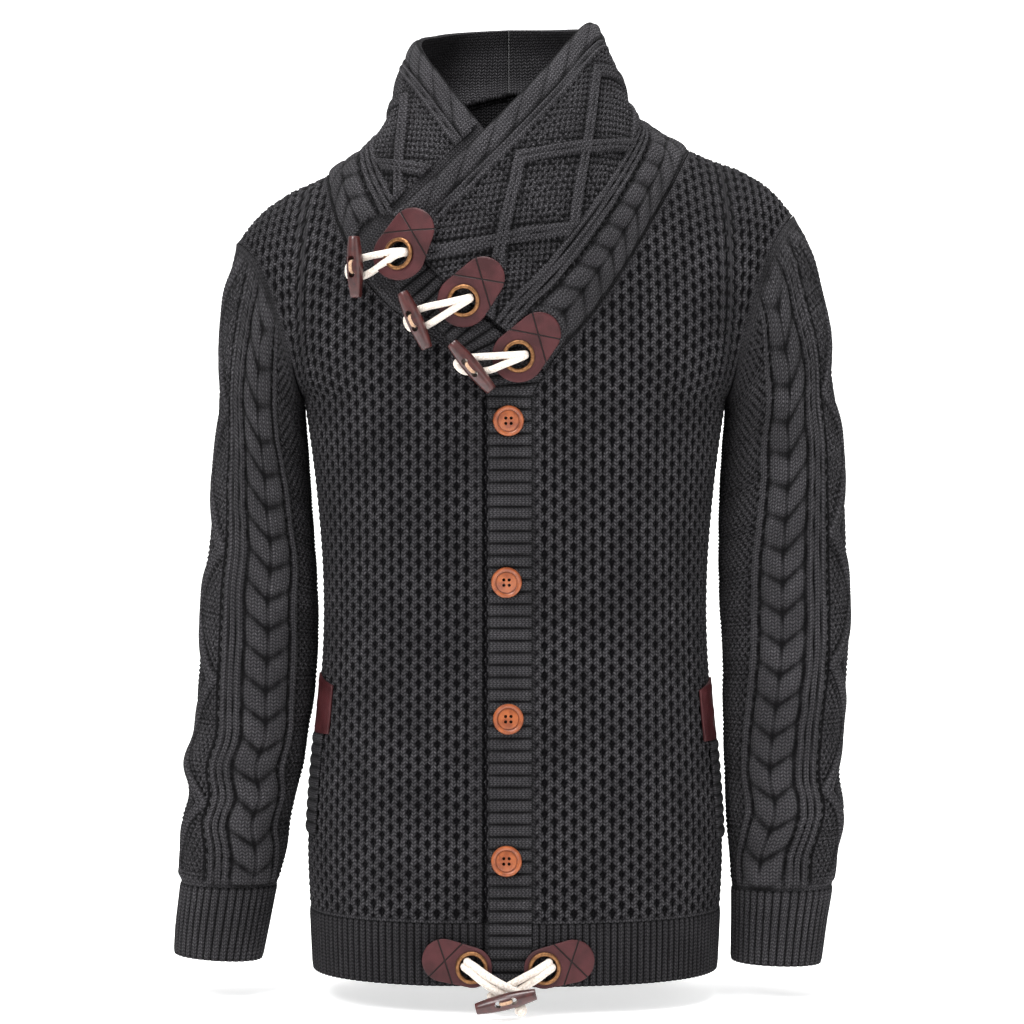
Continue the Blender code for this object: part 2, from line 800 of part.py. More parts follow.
def hem_rib(name, side, start_x, end_x, dip=False):
    """A ribbed hem piece that follows the torso's form."""
    count = rib_columns(230 if side == FRONT else 470, RIB_PITCH)
    lines = []
    for z in (HEM_Z, HEM_TOP_Z - SEAM_GAP):
        level = z - ARMPIT_Z
        limit = half_width(level)
        ends = [max(-limit, min(limit, x)) for x in (start_x, end_x)]
        lines.append(across(level, *ends, np.linspace(0, 1, count), side))
    grid = np.stack(lines, 1)
    if dip:
        grid = dipped(grid)
    facing = normals(grid, (0, side, 0))
    for end in (0, -1):
        if abs(grid[end, 0, 1]) < 3:
            grid[end, :, 1] += side * SEAM_GAP / 2
            facing[end, :, 1] = 0
    facing[..., 2] = 0
    facing = unit(facing)
    relief = np.where(np.arange(count) % 2 == 1, RIB_HIGH, RIB_LOW)[:, None, None]
    wall(name, grid + facing * relief, grid - facing * (RIB_CLOTH - RIB_LOW), every(count, 4), [0, 1], "knit")


def make_hem():
    """The ribbed hem: one piece below each front and one below the back."""
    far = 400.0
    hem_rib("hem_front_left", FRONT, BAND_EDGE_X + SEAM_GAP, far)
    hem_rib("hem_front_right", FRONT, 6.0, -far, dip=True)
    hem_rib("hem_back", BACK, -far, far)


# ---------------------------------------------------------------- sleeves


def sleeve_section_table(hand):
    """Splines of a sleeve's section corners, half depth and middle against the run down its middle."""
    rows = SLEEVE[hand]
    outer = np.array([(row.outer_x, row.outer_z) for row in rows])
    inner = np.array([(row.inner_x, row.inner_z) for row in rows])
    run = arc_lengths((outer + inner) / 2)
    values = np.concatenate([outer, inner, [[row.half_depth, row.middle_y] for row in rows]], 1)
    return run, spline(run, values)


def armhole_loop(hand, front, back):
    """Points and body normals round the armhole, over the shoulder first, then down the front."""
    column = -1 if hand == LEFT else 0
    loops = []
    for kind in (0, 1):
        down = front[kind][-1, ROWS_BELOW:][::-1]
        up = back[kind][column, ROWS_BELOW:]
        loops.append(np.concatenate([down, up[1:-1]]))
    loops[0][0, 1] = SHOULDER_Y
    loops[0][len(HALF_TURNS) - 1, 1] = 0
    return loops[0] + np.array([hand * ARMHOLE_GAP, 0, 0]), unit(loops[1])


def sleeve_surface(hand, turns, runs, loop=None):
    """A sleeve's outer surface [around, down], fitted to the armhole at its top."""
    table, at = sleeve_section_table(hand)
    outer_x, outer_z, inner_x, inner_z, half_depth, middle_y = np.moveaxis(at(runs), -1, 0)
    angle = 2 * math.pi * np.asarray(turns)[:, None]
    over = np.sign(np.cos(angle)) * np.abs(np.cos(angle)) ** (2 / SLEEVE_POWER)
    ahead = np.sign(np.sin(angle)) * np.abs(np.sin(angle)) ** (2 / SLEEVE_POWER)
    x = (outer_x + inner_x) / 2 + (outer_x - inner_x) / 2 * over
    z = (outer_z + inner_z) / 2 + (outer_z - inner_z) / 2 * over
    grid = np.stack([x, middle_y - half_depth * ahead, z], -1)
    if loop is not None:
        fade = 1 - smoothstep(runs, table[0], table[0] + 90.0)
        grid += (loop - grid[:, 0])[:, None, :] * fade[None, :, None]
    return grid


def sleeve_relief(u, v):
    """The sleeve's cables: u is the distance from the outer line, v the distance down."""
    away = np.abs(u)
    high = plait(away, v, 86, 19, 41, 4.0)
    for middle in (50, 56, 62):
        high = np.maximum(high, ridge(away, middle, 3.0, 2.2))
    high = np.maximum(high, lattice(u, v, 0, 38, 98, 3.2))
    high = np.maximum(high, ridge(away, 110, 3.5, 2.2))
    return high


def make_sleeves(fronts, back):
    """Both sleeves, raised with their cables and sewn to the armholes of the panels."""
    for hand, name in ((LEFT, "sleeve_left"), (RIGHT, "sleeve_right")):
        end = sleeve_section_table(hand)[0][CUFF_ROW] - SEAM_GAP
        runs = np.concatenate([[0, 4], np.linspace(14, end, SLEEVE_ROWS)])
        loop, armhole_facing = armhole_loop(hand, fronts[hand], back)
        grid = sleeve_surface(hand, TURNS, runs, loop)
        facing = tube_normals(grid, hand)
        agree = smoothstep(np.sum(facing[:, 0] * armhole_facing, -1), 0.0, 0.6)[:, None]
        facing[:, 0] = unit(facing[:, 0] * (1 - agree) + armhole_facing * agree)
        u = around_lengths(grid, TURNS)
        v = np.broadcast_to(runs, u.shape)
        fade = smoothstep(v, 4, 30) * (1 - smoothstep(v, end - 10, end - 2))
        facing[:, -1] = squared(facing[:, -1], grid[:, -1])
        outer = grid + facing * (sleeve_relief(u, v) * fade)[..., None]
        down = np.r_[0, 1, 3:14:3, 14 : len(runs)]
        wall(name, outer, grid - facing * CLOTH, np.arange(0, len(TURNS), 2), down, "knit", closed=True)


def squared(facing, ring):
    """Normals along a ring, laid into the ring's plane."""
    quarter = len(ring) // 4
    axis = unit(np.cross(ring[quarter] - ring[0], ring[2 * quarter] - ring[0]))
    return unit(facing - (facing @ axis)[:, None] * axis)


def tube_normals(grid, hand):
    """Outward normals of a sleeve's grid, whose first column is its outer line."""
    facing = normals(grid, (0, 0, 0), closed=True)
    return facing if facing[0, -1, 0] * hand > 0 else -facing


def around_lengths(grid, turns):
    """Signed distance round each ring from the outer line: positive in front, negative behind."""
    ring = np.concatenate([grid, grid[:1]], 0)
    run = arc_lengths(ring)
    total = run[-1]
    run = run[:-1]
    return np.where(np.asarray(turns)[:, None] <= 0.5, run, run - total)


def make_cuffs():
    """Both ribbed cuffs, in line with the sleeves."""
    for hand, name in ((LEFT, "cuff_left"), (RIGHT, "cuff_right")):
        table, _ = sleeve_section_table(hand)
        turns = np.arange(2 * CUFF_RIBS) / (2 * CUFF_RIBS)
        grid = sleeve_surface(hand, turns, table[[CUFF_ROW, -1]])
        facing = tube_normals(grid, hand)
        relief = np.where(np.arange(2 * CUFF_RIBS) % 2 == 0, RIB_HIGH, RIB_LOW)[:, None, None]
        facing[:, 0] = squared(facing[:, 0], grid[:, 0])
        under = grid - facing * (RIB_CLOTH - RIB_LOW)
        wall(name, grid + facing * relief, under, np.arange(0, 2 * CUFF_RIBS, 2), [0, 1], "knit", closed=True)


# ---------------------------------------------------------------- collar


def neck_line(hand):
    """The whole neck seam of one half as fine points, from the band round to the middle back."""
    rise = np.sin(np.linspace(0, math.pi / 2, 400)) ** (2 / SHOULDER_POWER)
    front = body_point(seam_x(hand)(rise), rise, FRONT)
    if hand == RIGHT:
        front = dipped(front)
    back = body_point(np.linspace(NECK_SEAM[hand][-1].x, -5.5, 400), 1.0, BACK)
    return np.concatenate([front, back[1:]])


def share_near(line, run, x, z):
    """The share of the way along a line at which it passes nearest to x, z, seen from the front."""
    near = int(np.argmin((line[:, 0] - x) ** 2 + (line[:, 2] - z) ** 2))
    return run[near] / run[-1]


def collar_surface(hand, seam, widths):
    """A collar half's outer surface [along, across].

    Args:
        hand: LEFT or RIGHT
        seam: its points on the body's neck seam
        widths: from 0 at the seam to 1 at the free edge
    """
    line = neck_line(hand)
    run = arc_lengths(line)
    rows = COLLAR[hand]
    knots = np.array([share_near(line, run, *row.seam) for row in rows])
    shares = np.array([run[int(np.argmin(np.sum((line - point) ** 2, 1)))] / run[-1] for point in seam])
    shares[0], shares[-1] = knots[0], knots[-1]
    lines = [seam]
    for column in ("low", "middle", "high", "edge"):
        lines.append(spline(knots, [getattr(row, column) for row in rows])(shares))
    grid = spline(np.linspace(0, 1, 5), np.stack(lines))(np.asarray(widths, float))
    return np.moveaxis(grid, 0, 1)


def collar_relief(w, v, seam_gap):
    """The collar's cables: w is the distance from the free edge, v the distance along, and
    seam_gap the distance from the body seam."""
    high = rope(w, v, 11, 9, 30, 3.2)
    for middle in (22, 27):
        high = np.maximum(high, ridge(w, middle, 2.6, 2.0))
    inner = smoothstep(seam_gap, 46, 58)
    high = np.maximum(high, lattice(w, v, 76, 34, 104, 3.0) * inner)
    for middle in (42, 47.5, 53):
        high = np.maximum(high, ridge(seam_gap, middle, 2.7, 2.2) * smoothstep(w, 30, 36))
    return np.maximum(high, plait(seam_gap, v, 19, 18, 41, 3.6) * smoothstep(w, 30, 36))


def make_collars(fronts, back):
    """Both halves of the wrap collar, sewn to the neckline and together behind the neck."""
    middle = SHOULDER_COLUMNS + NECK_COLUMNS // 2
    for hand, name in ((LEFT, "collar_left"), (RIGHT, "collar_right")):
        columns = np.arange(middle + hand * NECK_COLUMNS // 2, middle - hand, -hand)[1:]
        seam, body_facing = (
            np.concatenate([fronts[hand][kind][0, COLLAR_ROW:], back[kind][columns, -1]]) for kind in (0, 1)
        )
        shoulder = len(seam) - len(columns) - 1
        seam[shoulder, 1] = SHOULDER_Y
        grid = collar_surface(hand, seam, COLLAR_WIDTHS)
        grid[-1, 1:, 0] += hand * SEAM_GAP / 2
        grid[-1, 0, 0] = grid[-1, 1, 0]
        facing = normals(grid, (0, FRONT, 0))
        if np.dot(facing[8, 10], grid[8, 10] - grid.mean((0, 1))) < 0:
            facing = -facing
        agree = smoothstep(np.sum(facing[:, 0] * body_facing, -1), -0.2, 0.5)[:, None]
        facing[:, 0] = unit(facing[:, 0] * (1 - agree) + body_facing * agree)
        facing[-1, :, 0] = 0
        facing = unit(facing)
        along = unit(np.gradient(grid[:, 0], axis=0))
        away = grid[:, 1] - grid[:, 0]
        grid[:, 0] += unit(away - np.sum(away * along, -1, keepdims=True) * along) * COLLAR_GAP
        run_across = np.moveaxis(arc_lengths(np.moveaxis(grid, 1, 0)), 0, 1)
        w = run_across[:, -1:] - run_across
        v = np.broadcast_to(arc_lengths(grid[:, 12])[:, None], w.shape)
        high = collar_relief(w, v, run_across) * smoothstep(w, 0, 2)
        high *= np.where(grid[..., 1] > 0, smoothstep(run_across, 3, 16), smoothstep(run_across, 0, 3))
        high *= patch_clearing(grid) if hand == LEFT else open_cloth(grid)
        along = np.r_[0:8:2, 8 : len(seam)]
        wall(name, grid + facing * high[..., None], grid - facing * CLOTH, along, COLLAR_INNER, "knit")


def patch_clearing(points):
    """1 on open cloth, falling to 0 where a leather patch presses the knit flat."""
    clear = np.ones(points.shape[:2])
    for spot in PATCHES[:3]:
        far = np.linalg.norm(points[..., [0, 2]] - np.array(spot_middle(spot)), axis=-1)
        clear = np.minimum(clear, smoothstep(far, 34, 42))
    return clear


def open_cloth(points):
    """1 where the under collar shows, 0 where the other half or the button band lies over it."""
    line = band_line(40)[0]
    line = (line[:, :2] + line[:, 2:]) / 2
    clear = np.ones(points.shape[:2])
    for place, (x, y, z) in zip(np.ndindex(clear.shape), points.reshape(-1, 3)):
        if y > -30:
            continue
        near_band = np.min(np.hypot(line[:, 0] - x, line[:, 1] - z)) < 24
        spots = ((x, z), (x - 7, z - 5), (x - 7, z + 7), (x + 3, z - 8))
        covers = [outermost_y(*spot, ("collar_left",)) for spot in spots]
        if near_band or any(cover is not None and cover < y for cover in covers):
            clear[place] = 0
    return clear


# ---------------------------------------------------------------- button band


def band_line(count):
    """Lines across the band, evenly spaced along its middle: right and left ends in x, z."""
    rows = np.array([row.right + row.left for row in BAND])
    knots = arc_lengths((rows[:, :2] + rows[:, 2:]) / 2)
    wanted = np.linspace(0, knots[-1], count)
    return np.stack([np.interp(wanted, knots, rows[:, k]) for k in range(4)], 1), knots[-1]


def settled(depths):
    """A smoothed row of depths that nowhere lies behind the row itself."""
    padded = np.pad(depths, 3, mode="edge")
    least = np.min([padded[k : len(padded) - 6 + k] for k in range(7)], 0)
    padded = np.pad(least, 3, mode="edge")
    return np.mean([padded[k : len(padded) - 6 + k] for k in range(7)], 0)


def band_grid(count):
    """The band's outer points [across, along], laid over the right front and the under collar."""
    line, _ = band_line(count)
    ends = [front_point(line[:, k], line[:, k + 1]) for k in (0, 2)]
    depths = np.stack([end[:, 1] - BAND_RISE for end in ends])
    for k, (right, left) in enumerate(zip(*ends)):
        lowest = []
        for share in np.linspace(0, 1, 7):
            spot = right + (left - right) * share
            below = outermost_y(spot[0], spot[2], ("front_right", "hem_front_right", "collar_right"))
            chord = depths[0, k] + (depths[1, k] - depths[0, k]) * share
            lowest.append(0 if below is None else min(0, below - RIB_CLOTH - 0.8 - chord))
        depths[:, k] += min(lowest)
    for end, depth in zip(ends, depths):
        ground = front_point(end[:, 0], end[:, 2])[:, 1]
        end[:, 1] = settled(depth - ground) + ground
    return np.stack(ends)


def make_band():
    """The ribbed band of the left front, bent to follow the collar's end."""
    count = rib_columns(band_line(2)[1], BAND_RIB_PITCH)
    grid = band_grid(count)
    facing = unit(normals(grid, (0, FRONT, 0)) * (0, 1, 0.3))
    relief = np.where(np.arange(count) % 2 == 1, BAND_RIDGE, 0.0)[None, :, None]
    wall("button_band", grid + facing * relief, grid - facing * RIB_CLOTH, [0, 1], every(count, 2), "knit")


# ---------------------------------------------------------------- leather, metal, horn and cord


class Patch(NamedTuple):
    """A leather patch seen from the front: its eyelet, and the middle of its wide end."""

    name: str
    eyelet: tuple
    wide_end: tuple
    under: tuple


ON_COLLAR = ("collar_left", "collar_right", "button_band", "front_left", "front_right")
ON_HEM = ("hem_front_left", "hem_front_right", "button_band", "front_left", "front_right")
PATCHES = (
    Patch("1", (-94.5, -94.5), (-76.5, -66), ON_COLLAR),
    Patch("2", (-41.0, -131.5), (-21.5, -105), ON_COLLAR),
    Patch("3", (3.0, -176), (23.5, -149.5), ON_COLLAR),
    Patch("hem_right", (-33.6, -651.5), (-56.5, -646), ON_HEM),
    Patch("hem_left", (22.6, -652), (45.5, -646.5), ON_HEM),
)


def spot_middle(patch):
    return tuple((a + b) / 2 for a, b in zip(patch.eyelet, patch.wide_end))


def patch_bed(patch):
    """The surface a patch lies on, with its origin at the eyelet and u towards the wide end."""
    reach = math.dist(patch.eyelet, patch.wide_end)
    angle = math.degrees(math.atan2(patch.wide_end[1] - patch.eyelet[1], patch.wide_end[0] - patch.eyelet[0]))
    extents = ((-PATCH_NOSE, reach + PATCH_END), (-PATCH_END, PATCH_END))
    return bed(*patch.eyelet, angle, *extents, patch.under, PATCH_CLEAR)


def patch_outline(reach):
    """The patch's outline about its eyelet, as (direction of its round end, u, v)."""
    lean = math.asin((PATCH_END - PATCH_NOSE) / reach)
    wide = np.linspace(-math.pi / 2 - lean, math.pi / 2 + lean, 12)
    nose = np.linspace(math.pi / 2 + lean, 3 * math.pi / 2 - lean, 9)[1:-1]
    ends = [(a, reach + PATCH_END * math.cos(a), PATCH_END * math.sin(a)) for a in wide]
    return ends + [(a, PATCH_NOSE * math.cos(a), PATCH_NOSE * math.sin(a)) for a in nose]


def make_patches():
    """Leather patches with an eyelet hole, and the metal eyelets set in them."""
    for patch in PATCHES:
        ground = patch_bed(patch)
        outline = patch_outline(math.dist(patch.eyelet, patch.wide_end))
        bm = bmesh.new()
        loops = []
        hole = EYELET_HOLE + 1.25
        top = PATCH_THICK
        for share, height in ((0, 0), (0, top), (0.45, top), (1, top), (1, 0), (0.45, 0)):
            loop = []
            for turn, u, v in outline:
                near_u, near_v = hole * math.cos(turn), hole * math.sin(turn)
                spot = (near_u + (u - near_u) * share, near_v + (v - near_v) * share)
                loop.append(bm.verts.new(ground.point(*spot, height)))
            loops.append(loop)
        for first, second in zip(loops, loops[1:] + loops[:1]):
            for k in range(len(outline)):
                j = (k + 1) % len(outline)
                bm.faces.new((first[k], first[j], second[j], second[k]))
        add_object(f"patch_{patch.name}", bm, "leather")
        low = 0.1
        profile = (
            (EYELET_HOLE, low), (EYELET_HOLE, top + 1.8), (EYELET_RIM - 1.2, top + 2.2),
            (EYELET_RIM, top + 0.5), (EYELET_HOLE + 0.8, top + 0.5), (EYELET_HOLE + 0.8, low),
        )
        turned(profile, f"eyelet_{patch.name}", "brass", ground.frame(), 12)


class Toggle(NamedTuple):
    """A toggle seen from the front: its middle, the direction of its length in degrees from +X, and
    how far its axis stands from the cloth, over the cord behind it."""

    name: str
    x: float
    z: float
    angle: float
    stand: float
    under: tuple


TOGGLES = (
    Toggle("1", -129.5, -101.0, -88, 14.0, ON_COLLAR),
    Toggle("2", -81.5, -146.0, -66, 14.0, ON_COLLAR),
    Toggle("3", -35.2, -183.5, -50, 14.0, ON_COLLAR),
    Toggle("hem", -7.2, -674.0, 14, 20.6, ON_HEM),
)


def toggle_frame(toggle):
    """A frame at a toggle's middle: X along it, Z out of the cloth."""
    angle = math.radians(toggle.angle)
    along = Vector((math.cos(angle), 0, math.sin(angle)))
    ground = bed(toggle.x, max(toggle.z, -655), toggle.angle, (-22, 22), (-17, 17), toggle.under)
    outward = ground.point(0, 0, 1) - ground.point(0, 0)
    outward = (outward - along * outward.dot(along)).normalized()
    made = Matrix((along, outward.cross(along), outward)).transposed().to_4x4()
    middle = ground.point(0, 0) + outward * toggle.stand
    made.translation = Vector((toggle.x, middle.y, toggle.z))
    return made


def make_toggles():
    """Tapered toggles, each drilled twice for its tie."""
    profile = ((-1, 0.52), (-0.97, 0.62), (-0.6, 0.86), (0, 1.0), (0.6, 0.86), (0.97, 0.62), (1, 0.52))
    sides = 10
    for toggle in TOGGLES:
        frame = toggle_frame(toggle)
        bm = bmesh.new()
        rings = []
        for share, swell in profile:
            radius = TOGGLE_THICK / 2 * swell
            ring = []
            for k in range(sides):
                angle = 2 * math.pi * k / sides
                spot = Vector((share * TOGGLE_LENGTH / 2, radius * math.cos(angle), radius * math.sin(angle)))
                ring.append(bm.verts.new(frame @ spot))
            rings.append(ring)
        for first, second in zip(rings, rings[1:]):
            for k in range(sides):
                j = (k + 1) % sides
                bm.faces.new((first[k], first[j], second[j], second[k]))
        bm.faces.new(rings[0])
        bm.faces.new(rings[-1])
        made = add_object(f"toggle_{toggle.name}", bm, "horn")
        for sign in (-1, 1):
            drill(made, frame @ Matrix.Translation((sign * DRILL_X, 0, 0)), 2.2)


def drill(target, frame, radius):
    """Cuts a round hole along the local Z axis of a frame in mm."""
    bm = bmesh.new()
    bmesh.ops.create_cone(bm, cap_ends=True, segments=8, radius1=radius, radius2=radius, depth=20)
    bmesh.ops.transform(bm, matrix=frame, verts=bm.verts)
    cutter = add_object(f"{target.name}_drill_{len(target.modifiers)}", bm, "horn")
    cutter.hide_render = True
    cutter.display_type = "WIRE"
    cut = target.modifiers.new("drill", "BOOLEAN")
    cut.operation = "DIFFERENCE"
    cut.object = cutter


def strand(eye, toward, aside, heights=OVER_RIM):
    """The start of a cord: from inside an eyelet, over its rim and out across the patch.

    Args:
        eye: the eyelet's frame
        toward: the direction it leaves in, in that frame
        aside: its distance from the eyelet's middle line
        heights: its height at each step out
    """
    across_line = Vector((-toward.y, toward.x))
    spots = []
    for ahead, height in zip((-4.6, 1.5, 8.0, 15.0), heights):
        spot = across_line * aside + toward * ahead
        spots.append(eye @ Vector((spot.x, spot.y, height)))
    return spots


def loop_route(patch, toggle):
    """A cord's route: out of the eyelet, under the toggle, round behind it, and back."""
    eye = patch_bed(patch).frame()
    stick = toggle_frame(toggle)
    inward = eye.inverted()
    side = 1 if (eye.translation - stick.translation).dot(stick.col[1].to_3d()) > 0 else -1
    deep = -(TOGGLE_THICK + CORD_THICK) / 2 - 0.7
    middle = (inward @ (stick @ Vector((0, 0, 0)))).to_2d()
    toward = middle.normalized()
    across_line = Vector((-toward.y, toward.x))
    stick_run = (inward @ (stick @ Vector((1, 0, 0)))).to_2d() - middle
    arms = []
    for sign in (1, -1):
        bend = [stick @ Vector((sign * spread, side * aside, deep + lift))
                for spread, aside, lift in ((5.6, 8.5, 1.2), (6.2, 1.5, 0), (6.0, -5.0, 0.2))]
        lean = sign if across_line.dot(stick_run) > 0 else -sign
        arms.append(strand(eye, toward, 3.0 * lean) + bend)
    tips = [stick @ Vector((x, -side * y, deep + 0.6)) for x, y in ((3.6, 10.4), (-3.6, 10.4))]
    return [tuple(point) for point in arms[0] + tips + arms[1][::-1]]


def make_fastenings():
    """The loops of cord, the ties through the toggles, and the cords and knot at the hem."""
    for patch, toggle in zip(PATCHES[:3], TOGGLES[:3]):
        cord(f"cord_{toggle.name}", loop_route(patch, toggle), CORD_THICK)
    top = TOGGLE_THICK / 2 + TIE_THICK / 2
    bridge = ((-DRILL_X, 1.5), (-DRILL_X, top), (-3.4, top + 1.6), (0, top + 2.0))
    for toggle in TOGGLES:
        frame = toggle_frame(toggle)
        spots = [(x, z) for x, z in bridge] + [(-x, z) for x, z in bridge[-2::-1]]
        cord(f"tie_{toggle.name}", [tuple(frame @ Vector((x, 0, z))) for x, z in spots], TIE_THICK)
    hem_cords()


class HemStrand(NamedTuple):
    """A cord from a hem eyelet to the back of the hem toggle: its eyelet's patch, its distance from
    the eyelet's middle line, where it ends along the toggle and above its axis, how far behind it,
    and its heights on the way out of the eyelet."""

    name: str
    patch: int
    aside: float
    end: float
    above: float
    behind: float
    heights: tuple


HEM_STRANDS = (
    HemStrand("cord_hem_right_1", 3, 3.0, 14.0, -1.0, 14.9, HEM_LOW),
    HemStrand("cord_hem_right_2", 3, -3.0, 3.0, -1.0, 14.9, HEM_LOW),
    HemStrand("cord_hem_left_1", 4, 3.0, -3.0, -2.0, 9.1, HEM_HIGH),
    HemStrand("cord_hem_left_2", 4, -3.0, -14.0, 3.5, 9.1, HEM_HIGH),
)


def hem_cords():
    """Cords that cross from the hem's eyelets to the hem toggle, and the knot at their end."""
    stick = toggle_frame(TOGGLES[3])
    for row in HEM_STRANDS:
        eye = patch_bed(PATCHES[row.patch]).frame()
        end = stick @ Vector((row.end, row.above, -row.behind))
        toward = (eye.inverted() @ end).to_2d().normalized()
        points = strand(eye, toward, row.aside, row.heights)
        cord(row.name, [tuple(point) for point in points + [end]], CORD_THICK)
    bm = bmesh.new()
    bmesh.ops.create_icosphere(bm, subdivisions=2, radius=5.0)
    bmesh.ops.transform(bm, matrix=stick @ Matrix.Translation((9.5, -9.8, -3.4)), verts=bm.verts)
    add_object("cord_knot", bm, "cord")


def make_buttons():
    """Round buttons with a raised rim, resting on the band."""
    for k, (x, z) in enumerate(zip(BUTTON_X, BUTTON_HEIGHTS)):
        reach = (-BUTTON_RADIUS, BUTTON_RADIUS)
        frame = bed(x, z, 0, reach, reach, ("button_band",), BUTTON_CLEAR).frame()
        profile = ((0, 0), (BUTTON_RADIUS - 1, 0), (BUTTON_RADIUS, 1.4), (BUTTON_RADIUS - 0.9, 3.2),
                   (BUTTON_RADIUS - 3.2, 3.0), (BUTTON_RADIUS - 4.0, 2.0), (0, 2.0))
        turned(profile, f"button_{k + 1}", "button", frame, 14)


class Pocket(NamedTuple):
    """A pocket's leather end and ribbed edge: the front edge of each as a share of the half width,
    and the heights of the leather's top and bottom and the ribs' bottom."""

    hand: int
    near: float
    rib_near: float
    top: float
    bottom: float
    rib_bottom: float


POCKETS = (
    Pocket(LEFT, 0.925, 0.955, -440, -481, -560),
    Pocket(RIGHT, 0.915, 0.945, -436, -475, -556),
)


def pocket_plate(name, hand, near, far, rows, lift, thick, paint, relief=0.0):
    """A thin plate laid round a front's side.

    Args:
        near, far: its front and back edge, as shares of the front's half width
        rows: its levels, as heights at the front edge and at the back edge
    """
    columns = 5
    grid = []
    for i in range(columns):
        share = i / (columns - 1)
        width = near + (far - near) * (1 - (1 - share) ** 1.8)
        column = []
        for start, end in rows:
            z = start + (end - start) * share
            column.append(front_point(hand * float(half_at(z)) * width, z))
        grid.append(column)
    grid = np.array(grid)
    facing = normals(grid, (0, FRONT, 0))
    high = np.where(np.arange(len(rows)) % 2 == 1, relief, 0.0)[None, :, None]
    around, up = np.arange(columns), every(len(rows), 2 if relief else 1)
    wall(name, grid + facing * (lift + thick + high), grid + facing * lift, around, up, paint)


def make_pockets():
    """The pockets' leather ends and the ribbed edges below them."""
    for pocket in POCKETS:
        word = "left" if pocket.hand == LEFT else "right"
        leather = [(z, z + 9 * (z - pocket.bottom) / (pocket.top - pocket.bottom))
                   for z in np.linspace(pocket.bottom, pocket.top, 4)]
        pocket_plate(f"pocket_leather_{word}", pocket.hand, pocket.near, 0.992, leather, 0.4, 1.8, "leather")
        top = pocket.bottom - 0.6
        ribs = [(z, z) for z in np.linspace(pocket.rib_bottom, top, 2 * POCKET_RIBS + 1)]
        pocket_plate(f"pocket_edge_{word}", pocket.hand, pocket.rib_near, 0.997, ribs, 0.4, 1.6, "knit", 1.2)


def main():
    for old in list(bpy.data.objects):
        bpy.data.objects.remove(old, do_unlink=True)
    fronts = make_fronts()
    back = make_back()
    make_hem()
    make_sleeves(fronts, back)
    make_cuffs()
    make_collars(fronts, back)
    make_band()
    make_patches()
    make_toggles()
    make_fastenings()
    make_buttons()
    make_pockets()


main()
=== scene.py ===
"""A worn cable-knit wrap-collar cardigan, dressed: its knitted cloth, leather, metal, horn and cord.

Lengths are in millimetres until a mesh is made, which is in metres. +X is the wearer's left, the
front faces -Y and +Z is up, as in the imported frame.
"""

import logging
import math
from dataclasses import dataclass, field, replace
from enum import Enum
from typing import Any, Callable, NamedTuple, Optional, Sequence

import bmesh
import bpy
import numpy as np
from bpy.types import Material, Mesh, NodeSocket, Object
from mathutils import Matrix, Vector
from mathutils.bvhtree import BVHTree


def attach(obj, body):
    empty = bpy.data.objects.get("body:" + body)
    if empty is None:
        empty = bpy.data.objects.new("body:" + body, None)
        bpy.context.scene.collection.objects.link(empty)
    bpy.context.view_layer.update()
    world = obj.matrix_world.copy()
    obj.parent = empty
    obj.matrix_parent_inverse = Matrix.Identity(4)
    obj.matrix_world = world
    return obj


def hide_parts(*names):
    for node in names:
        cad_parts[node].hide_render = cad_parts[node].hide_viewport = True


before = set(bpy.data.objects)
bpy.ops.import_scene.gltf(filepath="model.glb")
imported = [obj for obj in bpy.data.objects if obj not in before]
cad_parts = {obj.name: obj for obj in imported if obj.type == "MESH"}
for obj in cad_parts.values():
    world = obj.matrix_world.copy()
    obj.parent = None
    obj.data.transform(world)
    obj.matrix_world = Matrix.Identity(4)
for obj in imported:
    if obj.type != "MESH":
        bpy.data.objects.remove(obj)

LOG = logging.getLogger("cardigan")
Array = np.ndarray
MM = 0.001
UV_PER_MM = 0.01  # the knit's UV map is in decimetres

HEM_Z = -667.0
HEM_TOP_Z = -618.0
ARMPIT_Z = -205.0  # below it rows are level, above it they rise to the shoulder seams
SEAM_GAP = 0.4
RAY_START = 400.0  # rays start this far in front of the middle, and reach to it


class Hand(Enum):
    """The wearer's left, at +X, or right."""

    LEFT = 1
    RIGHT = -1


class Face(Enum):
    """The front of the body, at -Y, or its back."""

    FRONT = -1
    BACK = 1


# ---------- measures from the photo, in mm


def rows_of(kind: type, rows: Sequence[tuple]) -> tuple:
    """A table's rows, with their columns named."""
    return tuple(kind(*row) for row in rows)


class Girth(NamedTuple):
    """A level section of the torso: its height, half width, and depth to the front and back."""

    z: float
    half: float
    front: float
    back: float


TORSO = rows_of(Girth, (
    (-667, 164.5, 128, 112), (-618, 167.0, 127, 110), (-574, 169.0, 125, 107), (-500, 165.0, 118, 98),
    (-450, 160.0, 113, 92), (-402, 156.8, 110, 90), (-375, 156.3, 110, 90), (-344, 157.0, 111, 92),
    (-300, 160.0, 115, 97), (-250, 165.5, 119, 103), (-205, 172.0, 122, 108),
))


class Armhole(NamedTuple):
    """A step up the chest: share of the way to the shoulder, armhole x, its share of the section's
    half width, and the section's depth to the front and back."""

    rise: float
    x: float
    share: float
    front: float
    back: float


CHEST = rows_of(Armhole, (
    (0.00, 172.0, 1.000, 122, 108), (0.05, 174.5, 0.965, 121, 109), (0.15, 178.5, 0.930, 120, 111),
    (0.35, 188.0, 0.905, 118, 112), (0.60, 201.0, 0.892, 113, 112), (0.80, 214.0, 0.887, 107, 109),
    (1.00, 228.0, 0.885, 98, 104),
))


class ShoulderLine(NamedTuple):
    """The top of the body at a distance from the middle: its height, and its y on the back piece."""

    x: float
    z: float
    y: float


